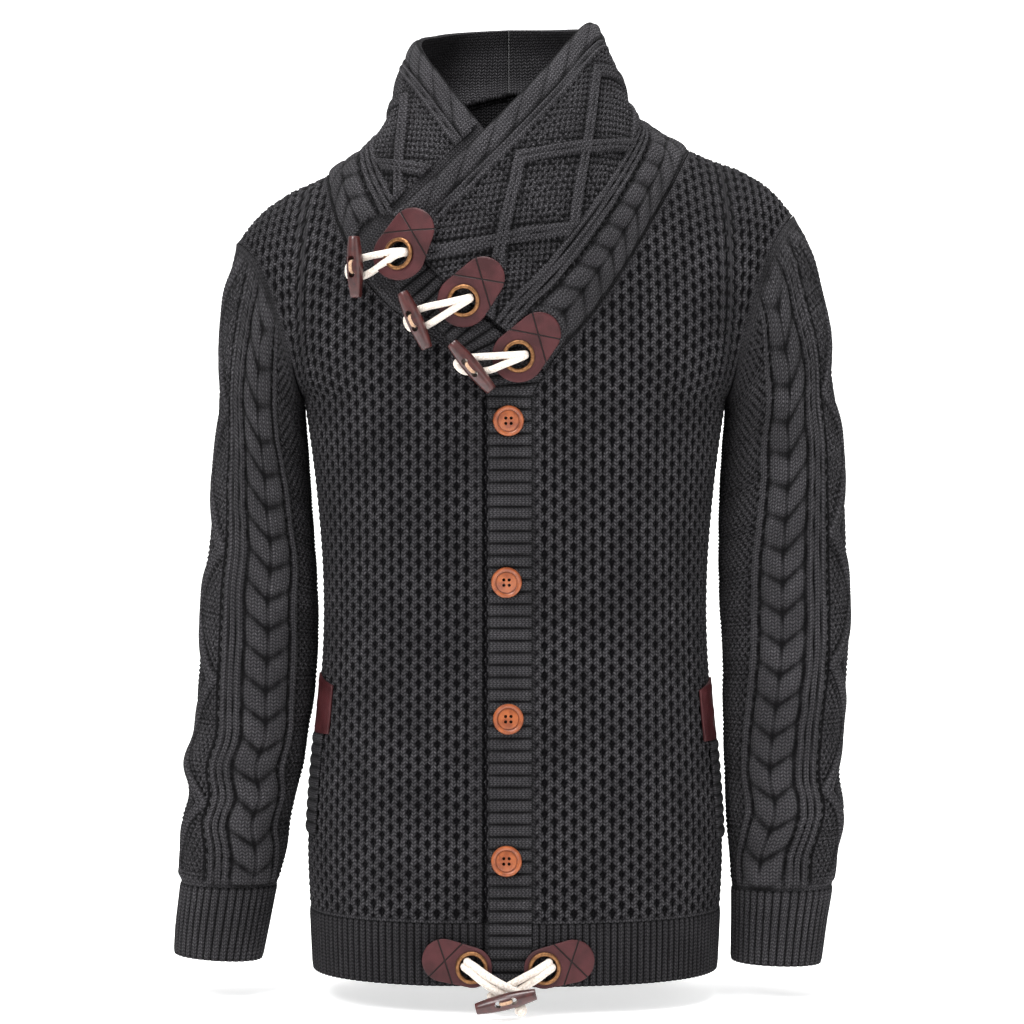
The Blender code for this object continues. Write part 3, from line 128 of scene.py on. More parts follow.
SHOULDER = rows_of(ShoulderLine, (
    (0, 57, 86), (50, 45, 79), (100, 15, 46), (140, -6, 5), (158, -15, 5), (189, -28.5, 5), (210, -43.5, 5),
    (228, -65, 5),
))


class SeamPoint(NamedTuple):
    """A point of a front neckline, where the collar is sewn on, seen from the front."""

    x: float
    z: float


NECK_SEAM = {
    Hand.LEFT: rows_of(SeamPoint, (
        (13.4, -205), (24, -187), (40, -165.5), (52, -153), (67, -134), (82.5, -111), (98, -85), (110, -64),
        (122, -43), (143.5, 0.2),
    )),
    Hand.RIGHT: rows_of(SeamPoint, (
        (-15, -205), (-26, -194), (-51, -169), (-75, -153), (-91, -142), (-114, -120), (-131, -91),
        (-141, -70), (-149, -45), (-155, -21.0),
    )),
}


class CollarRow(NamedTuple):
    """A section across a collar half: the point of the neck seam it starts from (x, z), then four
    points x, y, z up to its free edge."""

    seam: tuple
    low: tuple
    middle: tuple
    high: tuple
    edge: tuple


COLLAR = {
    Hand.LEFT: rows_of(CollarRow, (
        ((23.5, -187), (-8, -129, -155.5), (-38, -131, -131), (-67, -128, -105), (-96.6, -120, -64)),
        ((67, -134), (43, -127, -103), (17, -129, -71), (-9, -121, -38), (-35, -106, -6)),
        ((98, -85), (81, -106, -50), (64, -100, -13), (43, -88, 22), (19, -71, 53)),
        ((122, -43), (107, -70, -13), (90, -60, 22), (74, -50, 60), (52, -31, 95)),
        ((143.5, 0), (114, 4, 14), (86, 6, 30), (77, 12, 65), (66, 18, 101)),
        ((96, 22), (88, 58, 38), (80, 61, 58), (70, 61, 84), (54, 57, 108)),
        ((50, 47.5), (49, 86, 61), (46, 88, 77), (41, 88, 94), (30, 81, 111)),
        ((-5, 57), (-4.5, 93, 69), (-4.5, 95, 83), (-4.5, 95, 98), (-5, 88, 112)),
    )),
    Hand.RIGHT: rows_of(CollarRow, (
        ((-31, -187), (-8, -120, -163), (9, -118, -133), (25, -113, -102), (42, -106, -72)),
        ((-91, -142), (-68, -116, -113), (-45, -116, -85), (-21, -108, -56), (2, -97, -28)),
        ((-131, -91), (-108, -95, -62), (-84, -97, -34), (-58, -92, -6), (-33, -80, 18)),
        ((-149, -45), (-128, -56, -18), (-108, -54, 5), (-88, -50, 32), (-64, -33, 62)),
        ((-155, -21), (-122, 2, 0), (-99, 6, 24), (-98, 12, 57), (-80, 20, 91)),
        ((-106, 6), (-98, 58, 26), (-92, 61, 48), (-83, 61, 76), (-66, 60, 103)),
        ((-55, 42), (-57, 86, 57), (-55, 88, 74), (-52, 88, 92), (-42, 81, 109)),
        ((-6, 57), (-5.5, 93, 69), (-5.5, 95, 83), (-5.5, 95, 98), (-6, 88, 112)),
    )),
}


class SleeveRow(NamedTuple):
    """A section of a sleeve: its outermost and innermost points seen from the front, its half depth
    and the y of its middle."""

    outer_x: float
    outer_z: float
    inner_x: float
    inner_z: float
    half_depth: float
    middle_y: float


SLEEVE = {
    Hand.LEFT: rows_of(SleeveRow, (
        (229, -55, 172.6, -205, 70, 0), (240, -78, 173.4, -213, 68, 1), (248, -111, 172.6, -224, 64, 2),
        (256, -148, 171, -242, 60, 3), (259, -189, 169.6, -264, 57, 3), (265.5, -230, 168.4, -291, 55, 3),
        (268, -271, 168, -318, 53, 2), (270, -320, 168, -347, 51, 1), (271.5, -365, 169, -380, 50, 0),
        (272, -402, 171, -410, 49, -1), (269, -443, 171, -447, 48, -3), (265, -480, 171.4, -480, 47, -6),
        (264, -512, 172, -508, 46, -9), (267, -540, 173, -537, 47, -11), (264, -556, 173.6, -553, 45, -12),
        (260, -571, 175.6, -572, 42, -13), (258, -601, 177, -602, 41, -14),
        (253.5, -628, 177, -627, 38, -15), (248.5, -663, 176.5, -661, 37, -16),
    )),
    Hand.RIGHT: rows_of(SleeveRow, (
        (-228.5, -77, -172.6, -205, 70, 0), (-231, -95, -173.4, -213, 68, 1),
        (-236, -115, -172.6, -224, 64, 2), (-239, -142, -171, -242, 60, 3),
        (-240.5, -181, -169.4, -264, 57, 3), (-242.5, -230, -167.6, -291, 55, 3),
        (-246, -271, -165.6, -318, 53, 2), (-248, -312, -163.6, -345, 51, 1),
        (-253.5, -353, -162.2, -378, 50, 0), (-256, -402, -162.6, -410, 49, -1),
        (-258.5, -443, -165.5, -448, 48, -3), (-260, -478, -170.8, -480, 47, -6),
        (-268, -502, -174, -504, 46, -9), (-265, -526, -179.6, -525, 45, -11),
        (-270.5, -548, -184.5, -550, 46, -12), (-270, -564, -186.5, -567, 43, -13),
        (-272, -598, -194.5, -600, 41, -14), (-276, -635, -201.5, -635, 38, -15),
        (-277, -655, -206.5, -660, 37, -16),
    )),
}


class BandRow(NamedTuple):
    """A line across the button band, seen from the front: its right and left ends."""

    right: tuple
    left: tuple


BAND = rows_of(BandRow, (
    ((-21, -665), (13, -665)), ((-21, -245), (13, -245)), ((-21, -222), (12.9, -222)),
    ((-22.5, -205), (12.4, -206)), ((-26, -195.5), (22.3, -189.3)), ((-33, -183), (8, -172)),
    ((-48.5, -166), (-25.5, -145)), ((-75.5, -138.5), (-53.0, -117.5)), ((-98.5, -114), (-76.5, -98.5)),
    ((-113, -95), (-92.5, -76)),
))


# ---------- curves and numbers


def spline(knots: Sequence[float], values: Sequence) -> Callable[[Array], Array]:
    """Makes a smooth function through a value, or a point, at each knot.

    Args:
        knots: rising places
        values: the value or point at each
    Returns:
        a function of place
    """
    places = np.asarray(knots, float)
    table = np.asarray(values, float)
    slopes = np.gradient(table, places, axis=0)

    def at(place: Array) -> Array:
        """The value at a place."""
        place = np.clip(np.asarray(place, float), places[0], places[-1])
        low = np.clip(np.searchsorted(places, place) - 1, 0, len(places) - 2)
        width = places[low + 1] - places[low]
        s = (place - places[low]) / width
        for _ in table.shape[1:]:
            s, width = s[..., None], width[..., None]
        start = table[low] * (2 * s**3 - 3 * s**2 + 1) + slopes[low] * width * (s**3 - 2 * s**2 + s)
        end = table[low + 1] * (3 * s**2 - 2 * s**3) + slopes[low + 1] * width * (s**3 - s**2)
        return start + end

    return at


def column(rows: Sequence[NamedTuple], knot: str, name: str) -> Callable[[Array], Array]:
    """A spline through one named column of a table."""
    return spline([getattr(row, knot) for row in rows], [getattr(row, name) for row in rows])


def smoothstep(value: Array, low: float = 0.0, high: float = 1.0) -> Array:
    """Rises smoothly from 0 at `low` to 1 at `high`."""
    s = np.clip((np.asarray(value, float) - low) / (high - low), 0, 1)
    return s * s * (3 - 2 * s)


def arc_lengths(points: Array) -> Array:
    """The run along the first axis of some points."""
    steps = np.linalg.norm(np.diff(points, axis=0), axis=-1)
    return np.concatenate([np.zeros((1,) + steps.shape[1:]), np.cumsum(steps, axis=0)])


def unit(vectors: Array) -> Array:
    """The vectors at length 1."""
    return vectors / np.maximum(np.linalg.norm(vectors, axis=-1, keepdims=True), 1e-9)


def between(wanted: Array, places: Array, table: Array) -> Array:
    """Rows of a table at the wanted places, straight between the places of its own rows."""
    return np.stack([np.interp(wanted, places, values) for values in table.T], -1)


def resample(points: Array, shares: Array) -> Array:
    """Points at shares of the way along a polyline."""
    run = arc_lengths(points)
    return between(np.asarray(shares) * run[-1], run, points)


def grid_normals(grid: Array, outward: Sequence[float], closed: bool = False) -> Array:
    """Unit normals of a grid of points.

    Args:
        grid: points [around, up]
        outward: a direction that the middle normal agrees with
        closed: whether the first axis goes all round
    Returns:
        a normal for each point
    """
    if closed:
        along = np.roll(grid, -1, 0) - np.roll(grid, 1, 0)
    else:
        along = np.gradient(grid, axis=0)
    found = unit(np.cross(along, np.gradient(grid, axis=1)))
    middle = found[grid.shape[0] // 2, grid.shape[1] // 2]
    return found if np.dot(middle, outward) > 0 else -found


def join_facing(facing: Array, beside: Array, low: float, high: float) -> None:
    """Turns the first three columns' normals towards those of the piece sewn to them.

    Args:
        facing: normals [along, across], changed in place
        beside: the other piece's normals along the seam
        low, high: the agreements at which the turning begins and is full
    """
    for k in range(3):
        agree = smoothstep(np.sum(facing[:, k] * beside, -1), low, high)[:, None] * (1 - k / 3)
        facing[:, k] = unit(facing[:, k] * (1 - agree) + beside * agree)


# ---------- the body's form


@dataclass
class BodyForm:
    """The smooth form that the whole cardigan hangs on."""

    neck_wider: float = 0.92  # the neckline reaches further out on the right
    shoulder_y: float = 5.0
    shoulder_tilt: float = 0.05  # the right shoulder hangs a little lower than the left
    torso_power: float = 2.4
    shoulder_power: float = 2.2
    band_edge_x: float = 13.0

    def __post_init__(self) -> None:
        """Makes the splines of its tables."""
        self.half_at = column(TORSO, "z", "half")
        self.depth_at = {face: column(TORSO, "z", face.name.lower()) for face in Face}
        self.armhole_x = column(CHEST, "rise", "x")
        self.armhole_share = column(CHEST, "rise", "share")
        self.chest_depth = {face: column(CHEST, "rise", face.name.lower()) for face in Face}
        self.shoulder_z = column(SHOULDER, "x", "z")
        self.shoulder_back_y = column(SHOULDER, "x", "y")
        self.seams = {hand: self.seam_spline(hand) for hand in Hand}

    def top_z(self, x: Array) -> Array:
        """The height of the body's top edge over x."""
        return self.shoulder_z(np.abs(x)) + self.shoulder_tilt * np.asarray(x)

    def rise_of(self, x: Array, z: Array) -> Array:
        """The share of the way from the armpits' level to the body's top edge."""
        return (np.asarray(z) - ARMPIT_Z) / (self.top_z(x) - ARMPIT_Z)

    def half_width(self, level: float) -> float:
        """Half the section's width: a level is a height below the armpits, or a rise from 0 to 1."""
        if level < 0:
            return float(self.half_at(ARMPIT_Z + level))
        return float(self.armhole_x(level) / self.armhole_share(level))

    def edge_x(self, level: float) -> float:
        """The x of the side seam, or of the armhole above it."""
        return self.half_width(level) if level < 0 else float(self.armhole_x(level))

    def point(self, x: Array, level: Array, face: Face) -> Array:
        """Points of the body's outer surface.

        Args:
            x: the distances from the middle
            level: a level, or one for each x
            face: which side of the body
        Returns:
            the points
        """
        x, level = np.broadcast_arrays(np.asarray(x, float), np.asarray(level, float))
        low, rise = np.minimum(level, 0), np.clip(level, 0, 1)
        depth = np.where(level < 0, self.depth_at[face](ARMPIT_Z + low), self.chest_depth[face](rise))
        chest_half = self.armhole_x(rise) / self.armhole_share(rise)
        half = np.where(level < 0, self.half_at(ARMPIT_Z + low), chest_half)
        share = np.clip(np.abs(x) / half, 0, 1)
        reach = face.value * depth * (1 - share**self.torso_power) ** (1 / self.torso_power)
        near = np.abs(x) * np.where(x < 0, self.neck_wider, 1)
        top_y = self.shoulder_y
        if face is Face.BACK:
            top_y = np.maximum(self.shoulder_back_y(near), self.shoulder_y)
        roll = (1 - rise**self.shoulder_power) ** (1 / self.shoulder_power)
        y = np.where(level < 0, reach, top_y + (reach - top_y) * roll)
        z = np.where(level < 0, ARMPIT_Z + low, ARMPIT_Z + rise * (self.top_z(x) - ARMPIT_Z))
        return np.stack([x, y, z], -1)

    def front_point(self, x: Array, z: Array) -> Array:
        """The point of the front that covers x and z, seen from the front."""
        z = np.asarray(z, float)
        level = np.where(z < ARMPIT_Z, z - ARMPIT_Z, self.rise_of(x, z))
        return self.point(x, level, Face.FRONT)

    def seam_spline(self, hand: Hand) -> Callable[[Array], Array]:
        """The x of a front neckline as a function of rise."""
        points = NECK_SEAM[hand]
        rises = [float(self.rise_of(point.x, point.z)) for point in points]
        rises[0], rises[-1] = 0.0, 1.0
        return spline(rises, [point.x for point in points])

    def turn_x(self, level: float, turns: Array) -> Array:
        """The x at turns from -90 to 90 degrees round a section."""
        half = self.half_width(level)
        return half * np.abs(np.sin(turns)) ** (2 / self.torso_power) * np.sign(turns)

    def front_edge(self, hand: Hand, level: float) -> float:
        """A front's inner edge: at the button band, or under it, and the neck seam above.

        Args:
            hand: which front
            level: a level
        Returns:
            its x
        """
        if level > 0:
            return float(self.seams[hand](level))
        if hand is Hand.LEFT:
            return self.band_edge_x + 0.1
        return 6.0 - 21.0 * float(smoothstep(level, -45, 0))

    def rises(self, count: int = 400) -> Array:
        """Rises from the armpit to the shoulder, close together where the surface turns."""
        return np.sin(np.linspace(0, math.pi / 2, count)) ** (2 / self.shoulder_power)

    def climb(self, face: Face) -> Callable[[Array, Array], Array]:
        """The distance up the surface from the armpits' level, as a function of x and rise.

        Args:
            face: the side of the body
        Returns:
            the function
        """
        xs = np.linspace(-232, 232, 93)
        rises = self.rises(120)
        table = np.stack([arc_lengths(self.point(np.full(rises.shape, x), rises, face)) for x in xs])

        def at(x: Array, rise: Array) -> Array:
            """The distance up at x and rise."""
            i = np.clip((np.asarray(x) - xs[0]) / (xs[1] - xs[0]), 0, len(xs) - 1.001)
            low = i.astype(int)
            j = np.interp(rise, rises, np.arange(len(rises)))
            down = np.minimum(j.astype(int), len(rises) - 2)
            a, b = i - low, j - down
            left = table[low, down] * (1 - b) + table[low, down + 1] * b
            right = table[low + 1, down] * (1 - b) + table[low + 1, down + 1] * b
            return left * (1 - a) + right * a

        return at


def wrap_dip(x: Array, deep: float = 4.6, start: float = -75, end: float = -27) -> Array:
    """How far the right front lies back, in mm, where the left front laps over it."""
    return deep * smoothstep(x, start, end)


def beside_band(points: Array, x: float = -24.2, half: float = 2.6, deep: float = 2.2) -> Array:
    """The depth of the furrow at x where the right front runs under the band, in mm; it paints the band's
    shadow through the pit shade.
    """
    return deep * np.exp(-(((points[..., 0] - x) / half) ** 2)) * (points[..., 2] < ARMPIT_Z)


# ---------- knitted relief, in mm


def fold(value: Array, period: float) -> Array:
    """The signed distance from the nearest multiple of a period."""
    return (value / period + 0.5) % 1.0 * period - period / 2


def ridge(u: Array, middle: float, half: float, height: float) -> Array:
    """One rounded ridge about `middle`."""
    return height * np.sqrt(np.clip(1 - ((u - middle) / half) ** 2, 0, 1))


def humps(phase: Array, power: float) -> Array:
    """Rounded humps from 0 to 1, one for each whole number of phase: the less the power, the fuller."""
    return np.abs(np.sin(math.pi * phase)) ** power


def cell_holes(u: Array, v: Array, pitch: float, rise: float) -> Array:
    """The open brioche of the body: a net of thin wavy ridges round holes and slits.

    Args:
        u, v: distances across and up the knit
        pitch: between columns of holes
        rise: between holes of a column
    Returns:
        the share of full height
    """
    index = np.round(u / pitch)
    across = u - index * pitch
    up = fold(v + (index % 2) * rise / 2, rise)
    slit = 0.85 * np.exp(-((across / 1.5) ** 2))
    hole = 1.1 * np.exp(-((across / 2.7) ** 2) - (up / 3.2) ** 2)
    arch = 0.55 * np.exp(-((across / 2.4) ** 2) - ((up - 4.7 + across * across * 0.22) / 1.2) ** 2)
    edge = np.abs(np.abs(across) - pitch / 2)
    return np.clip(1 - slit - hole + arch - 0.25 * np.exp(-((edge / 0.8) ** 2)), 0, 1.1)


def moss(u: Array, v: Array, pitch: float = 6.2) -> Array:
    """Seed stitch: staggered bumps with deep gaps between them, in mm from 0.

    Args:
        u, v: distances across and along the knit
        pitch: between bumps
    Returns:
        the relief
    """
    rise = 0.62 * pitch
    index = np.round(v / rise)
    across = fold(u + index % 2 * pitch / 2, pitch)
    up = v - index * rise
    return 2.4 * np.clip(1 - (across / (0.44 * pitch)) ** 2 - (up / (0.38 * pitch)) ** 2, 0, 1) ** 0.6


def plait(u: Array, v: Array, middle: float, half: float, period: float, height: float) -> Array:
    """A plaited cable: two runs of loops that lean towards its middle.

    Args:
        u, v: distances across and along the knit
        middle, half: its middle and half width
        period: the length of one repeat
        height: its height
    Returns:
        the relief
    """
    side = np.abs(u - middle) / half
    body = np.sqrt(np.clip(1 - side**4, 0, 1)) * (side < 1)
    lean = humps(v / period + 0.55 * side, 0.8)
    crease = 1 - 0.30 * np.exp(-((side / 0.08) ** 2))
    return height * body * (0.52 + 0.48 * lean) * crease


def rope(u: Array, v: Array, middle: float, half: float, period: float, height: float) -> Array:
    """A two-strand rope cable that twists one way.

    Args:
        u, v: distances across and along the knit
        middle, half: its middle and half width
        period: the length of one repeat
        height: its height
    Returns:
        the relief
    """
    place = (u - middle) / half
    body = np.sqrt(np.clip(1 - np.abs(place) ** 3, 0, 1)) * (np.abs(place) < 1)
    twist = humps(v / period + 0.5 * place, 0.6)
    return height * body * (0.50 + 0.50 * twist)


def lattice(u: Array, v: Array, middle: float, half: float, period: float, height: float) -> Array:
    """Doubled cords that cross over a panel, with seed stitch in the diamonds between them.

    Args:
        u, v: distances across and along the knit
        middle, half: its middle and half width
        period: the length of one repeat
        height: its height
    Returns:
        the relief
    """
    phase = np.abs(((v / period) % 1.0) * 2 - 1) * half
    place = u - middle
    high = np.zeros(np.broadcast(u, v).shape)
    for sign in (-1, 1):
        for strand in (-3.0, 3.0):
            high = np.maximum(high, ridge(place, sign * phase + strand, 3.2, height))
    inside = np.abs(place) < half + 5
    return np.where(inside, np.maximum(high, moss(u, v)), 0)


# ---------- objects


def linked(name: str, data: Any) -> Object:
    """A new object in the scene."""
    made = bpy.data.objects.new(name, data)
    bpy.context.scene.collection.objects.link(made)
    return made


def turn_outwards(mesh: Mesh) -> None:
    """Turns a closed mesh's faces outwards, and shades them smooth."""
    bm = bmesh.new()
    bm.from_mesh(mesh)
    bmesh.ops.recalc_face_normals(bm, faces=bm.faces)
    bm.to_mesh(mesh)
    bm.free()
    mesh.shade_smooth()


def axes(along: Vector, outward: Vector, place: Vector) -> Matrix:
    """A frame at a place: X along, Z outward."""
    made = Matrix((along, outward.cross(along), outward)).transposed().to_4x4()
    made.translation = place
    return made


def placed(place: Matrix) -> Matrix:
    """A frame in mm as one in metres."""
    made = place.to_3x3().to_4x4()
    made.translation = place.translation * MM
    return made


def declare(made: Object, name: str, node: str, finish: "Finish") -> Object:
    """Names a finished piece, gives it its finish, hangs it under the root and hides the CAD node it stands
    for.

    Args:
        made: the piece
        name, node: its own name and the CAD node's
        finish: its finish
    Returns:
        the piece
    """
    made.name = made.data.name = name
    made.data.materials.append(finish.material())
    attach(made, "root")
    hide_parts(node)
    return made


# ---------- thin walls of cloth


@dataclass
class Cloth:
    """One knitted or cut piece as a thin wall: a fine outer side and a plainer inner one.

    Points are [around, up] in mm. `low` and `high` are the first and last column that each row
    keeps: further columns fall on those.
    """

    name: str
    node: str
    base: Array
    facing: Array
    relief: Array
    uv: Array
    thick: float
    finish: "Finish"
    slot: str = "knit"
    closed: bool = False
    low: Optional[Array] = None
    high: Optional[Array] = None
    inner_step: tuple = (3, 3)
    held: str = "draped"
    flat: Optional[tuple] = None  # its width and length in mm, where they don't follow the grid

    def corner_owners(self) -> Array:
        """The point that each corner of the outer grid belongs to."""
        count, rows = self.base.shape[:2]
        low = np.zeros(rows, int) if self.low is None else self.low
        high = np.full(rows, count - 1) if self.high is None else self.high
        owners = np.clip(np.arange(count)[:, None], low, high) * rows + np.arange(rows)
        return np.concatenate([owners, owners[:1]]) if self.closed else owners

    def flat_size(self) -> tuple:
        """The width, length and area of the cut piece, in metres.

        Returns:
            those three
        """
        owners = self.corner_owners()
        points = self.base.reshape(-1, 3)[owners]
        sides = np.linalg.norm(np.diff(points, axis=0), axis=-1)
        ups = np.linalg.norm(np.diff(points, axis=1), axis=-1)
        first = np.cross(points[1:, :-1] - points[:-1, :-1], points[:-1, 1:] - points[:-1, :-1])
        second = np.cross(points[:-1, 1:] - points[1:, 1:], points[1:, :-1] - points[1:, 1:])
        area = (np.linalg.norm(first, axis=-1).sum() + np.linalg.norm(second, axis=-1).sum()) / 2
        width, length = self.flat or (sides.sum(0).max(), ups.sum(1).max())
        return width * MM, length * MM, area * MM * MM

    def strips(self, outer: list, inner: list, picks: list) -> list:
        """Faces between an outer and an inner row of corners.

        Args:
            outer, inner: corner indices
            picks: for each inner corner, the outer one it faces
        Returns:
            triangles
        """
        faces = []
        i = j = 0
        while i < len(outer) - 1 or j < len(inner) - 1:
            turn = (picks[j] + picks[j + 1]) / 2 if j < len(inner) - 1 else len(outer)
            if i < len(outer) - 1 and i + 0.5 <= turn:
                faces.append((outer[i], outer[i + 1], inner[j]))
                i += 1
            else:
                faces.append((outer[i], inner[j + 1], inner[j]))
                j += 1
        return faces

    def quads(self, owners: Array, first: int) -> list:
        """Faces of a grid of corners, less those that fell flat at a trimmed edge.

        Args:
            owners: the point that each corner belongs to
            first: the first corner's index
        Returns:
            quads and triangles
        """
        count, rows = owners.shape
        index = first + np.arange(count * rows).reshape(count, rows)
        corners = np.stack([index[:-1, :-1], index[1:, :-1], index[1:, 1:], index[:-1, 1:]], -1).reshape(-1, 4)
        own = owners.reshape(-1)[corners - first]
        low_flat, high_flat = own[:, 0] == own[:, 1], own[:, 2] == own[:, 3]
        faces = corners[~low_flat & ~high_flat].tolist()
        faces += corners[low_flat & ~high_flat][:, [1, 2, 3]].tolist()
        faces += corners[~low_flat & high_flat][:, [0, 1, 2]].tolist()
        return faces

    def build(self) -> Object:
        """Returns:
            the finished piece
        """
        count, rows = self.base.shape[:2]
        outer = self.base + self.facing * self.relief[..., None]
        under = self.base - self.facing * self.thick
        owners = self.corner_owners()
        step_u, step_v = self.inner_step
        last = owners.shape[0] - 1
        picks_u = np.unique(np.r_[0:last:step_u, last])
        picks_v = np.unique(np.r_[0 : rows - 1 : step_v, rows - 1])
        under_owners = owners[np.ix_(picks_u, picks_v)]
        faces = self.quads(owners, 0)
        shift = owners.size
        faces += self.quads(under_owners, shift)
        outer_at = np.arange(owners.size).reshape(owners.shape)
        inner_at = shift + np.arange(under_owners.size).reshape(under_owners.shape)
        for end in (0, -1):
            row = rows - 1 if end else 0
            outer_row, inner_row = (owners[:, row], outer_at[:, row]), (under_owners[:, end], inner_at[:, end])
            faces += self.rim(*outer_row, *inner_row, picks_u)
            if not self.closed:
                faces += self.strips(outer_at[end].tolist(), inner_at[end].tolist(), picks_v.tolist())
        points = np.concatenate([outer.reshape(-1, 3), under.reshape(-1, 3)])
        owner = np.concatenate([owners.reshape(-1), count * rows + under_owners.reshape(-1)])
        uv = np.concatenate([self.uv.reshape(-1, 2), self.uv[np.ix_(picks_u, picks_v)].reshape(-1, 2)])
        # depth shares for the finish's painted pit shade; the inner side gets one even share, mostly lit
        high = np.concatenate([self.depth_shares().reshape(-1), np.full(count * rows, 0.55)])
        return self.make_object(points * MM, owner, faces, uv * UV_PER_MM, high)

    def rim(self, owners: Array, at: Array, under_owners: Array, under_at: Array, picks: Array) -> list:
        """The strip along the first or last row.

        Args:
            owners, at: the owners and the indices of its outer corners
            under_owners, under_at: those of its inner corners
            picks: the outer corner that each inner one faces, on a closed piece
        Returns:
            triangles
        """
        if self.closed:
            return self.strips(at.tolist(), under_at.tolist(), picks.tolist())
        keep, under_keep = (np.sort(np.unique(row, return_index=True)[1]) for row in (owners, under_owners))
        places = [int(np.argmin(np.abs(owners[keep] - under_owners[k]))) for k in under_keep]
        return self.strips(at[keep].tolist(), under_at[under_keep].tolist(), places)

    def depth_shares(self) -> Array:
        """How far each outer point stands above the relief round it: 0.5 is level with it.

        Returns:
            a share for each point, from which the knit's finish paints shade in the pits
        """
        mean = self.relief
        for axis, reach in ((0, 4), (1, 5)):
            shifts = range(-reach, reach + 1)
            if self.closed and axis == 0:
                mean = np.mean([np.roll(mean, shift, 0) for shift in shifts], 0)
                continue
            pad = [(reach, reach) if axis == k else (0, 0) for k in (0, 1)]
            padded = np.pad(mean, pad, mode="edge")
            size = mean.shape[axis]
            mean = np.mean([np.take(padded, range(s + reach, s + reach + size), axis) for s in shifts], 0)
        return np.clip(0.5 + (self.relief - mean) / 2.8, 0, 1)

    def make_object(self, points: Array, owner: Array, faces: list, uv: Array, high: Array) -> Object:
        """Welds the corners, makes the object, gives it its map and finish, and hides the CAD node it stands
        for.

        Args:
            points: one for each owner
            owner: the owner of each corner
            faces: corner indices
            uv: a place on the map for each corner
            high: the height in the relief, one for each owner, from which the finish paints shade in the pits
        Returns:
            the object
        """
        used, vertex = np.unique(owner, return_inverse=True)
        flat = np.concatenate([np.asarray(face) for face in faces])
        mesh = bpy.data.meshes.new(self.name)
        mesh.from_pydata(points[used].tolist(), [], [[int(vertex[k]) for k in face] for face in faces])
        layer = mesh.uv_layers.new(name="knit")
        layer.data.foreach_set("uv", uv[flat].astype(np.float32).reshape(-1))
        # the relief attribute: the knit's finish paints shade in the pits from it
        painted_shade_mask = mesh.attributes.new("relief", "FLOAT", "POINT")
        painted_shade_mask.data.foreach_set("value", high[used].astype(np.float32))
        turn_outwards(mesh)
        made = declare(linked(self.name, mesh), self.name, self.node, self.finish)
        width, length, area = self.flat_size()
        min(area, width * length)
        LOG.info("%s: flat %.3f x %.3f m, %.4f m2, %d faces", self.name, width, length, area, len(faces))
        return made


# ---------- shaders


class Value:
    """A value in a shader, with arithmetic that makes Math nodes."""

    def __init__(self, shader: "Shader", socket: NodeSocket) -> None:
        """Args: the shader and the output socket that this stands for."""
        self.shader = shader
        self.socket = socket

    def math(self, operation: str, *others: Any) -> "Value":
        """A Math node of this value and others."""
        return self.shader.node("ShaderNodeMath", {"operation": operation}, dict(enumerate((self, *others))))

    def __add__(self, other: Any) -> "Value":
        """The sum."""
        return self.math("ADD", other)

    __radd__ = __add__

    def __mul__(self, other: Any) -> "Value":
        """The product."""
        return self.math("MULTIPLY", other)

    __rmul__ = __mul__

    def __sub__(self, other: Any) -> "Value":
        """The difference."""
        return self.math("SUBTRACT", other)

    def __rsub__(self, other: Any) -> "Value":
        """The difference from a number."""
        return self.shader.node("ShaderNodeMath", {"operation": "SUBTRACT"}, {0: other, 1: self})

    def __truediv__(self, other: Any) -> "Value":
        """The quotient."""
        return self.math("DIVIDE", other)

    def __pow__(self, other: Any) -> "Value":
        """The power."""
        return self.math("POWER", other)

    def fract(self) -> "Value":
        """The part after the point."""
        return self.math("FRACT")

    def abs(self) -> "Value":
        """The size without its sign."""
        return self.math("ABSOLUTE")

    def top(self, other: Any) -> "Value":
        """The greater of two."""
        return self.math("MAXIMUM", other)

    def smooth(self, low: float, high: float) -> "Value":
        """Rises smoothly from 0 at `low` to 1 at `high`."""
        settings = {"interpolation_type": "SMOOTHSTEP"}
        return self.shader.node("ShaderNodeMapRange", settings, {0: self, 1: low, 2: high, 3: 0.0, 4: 1.0})


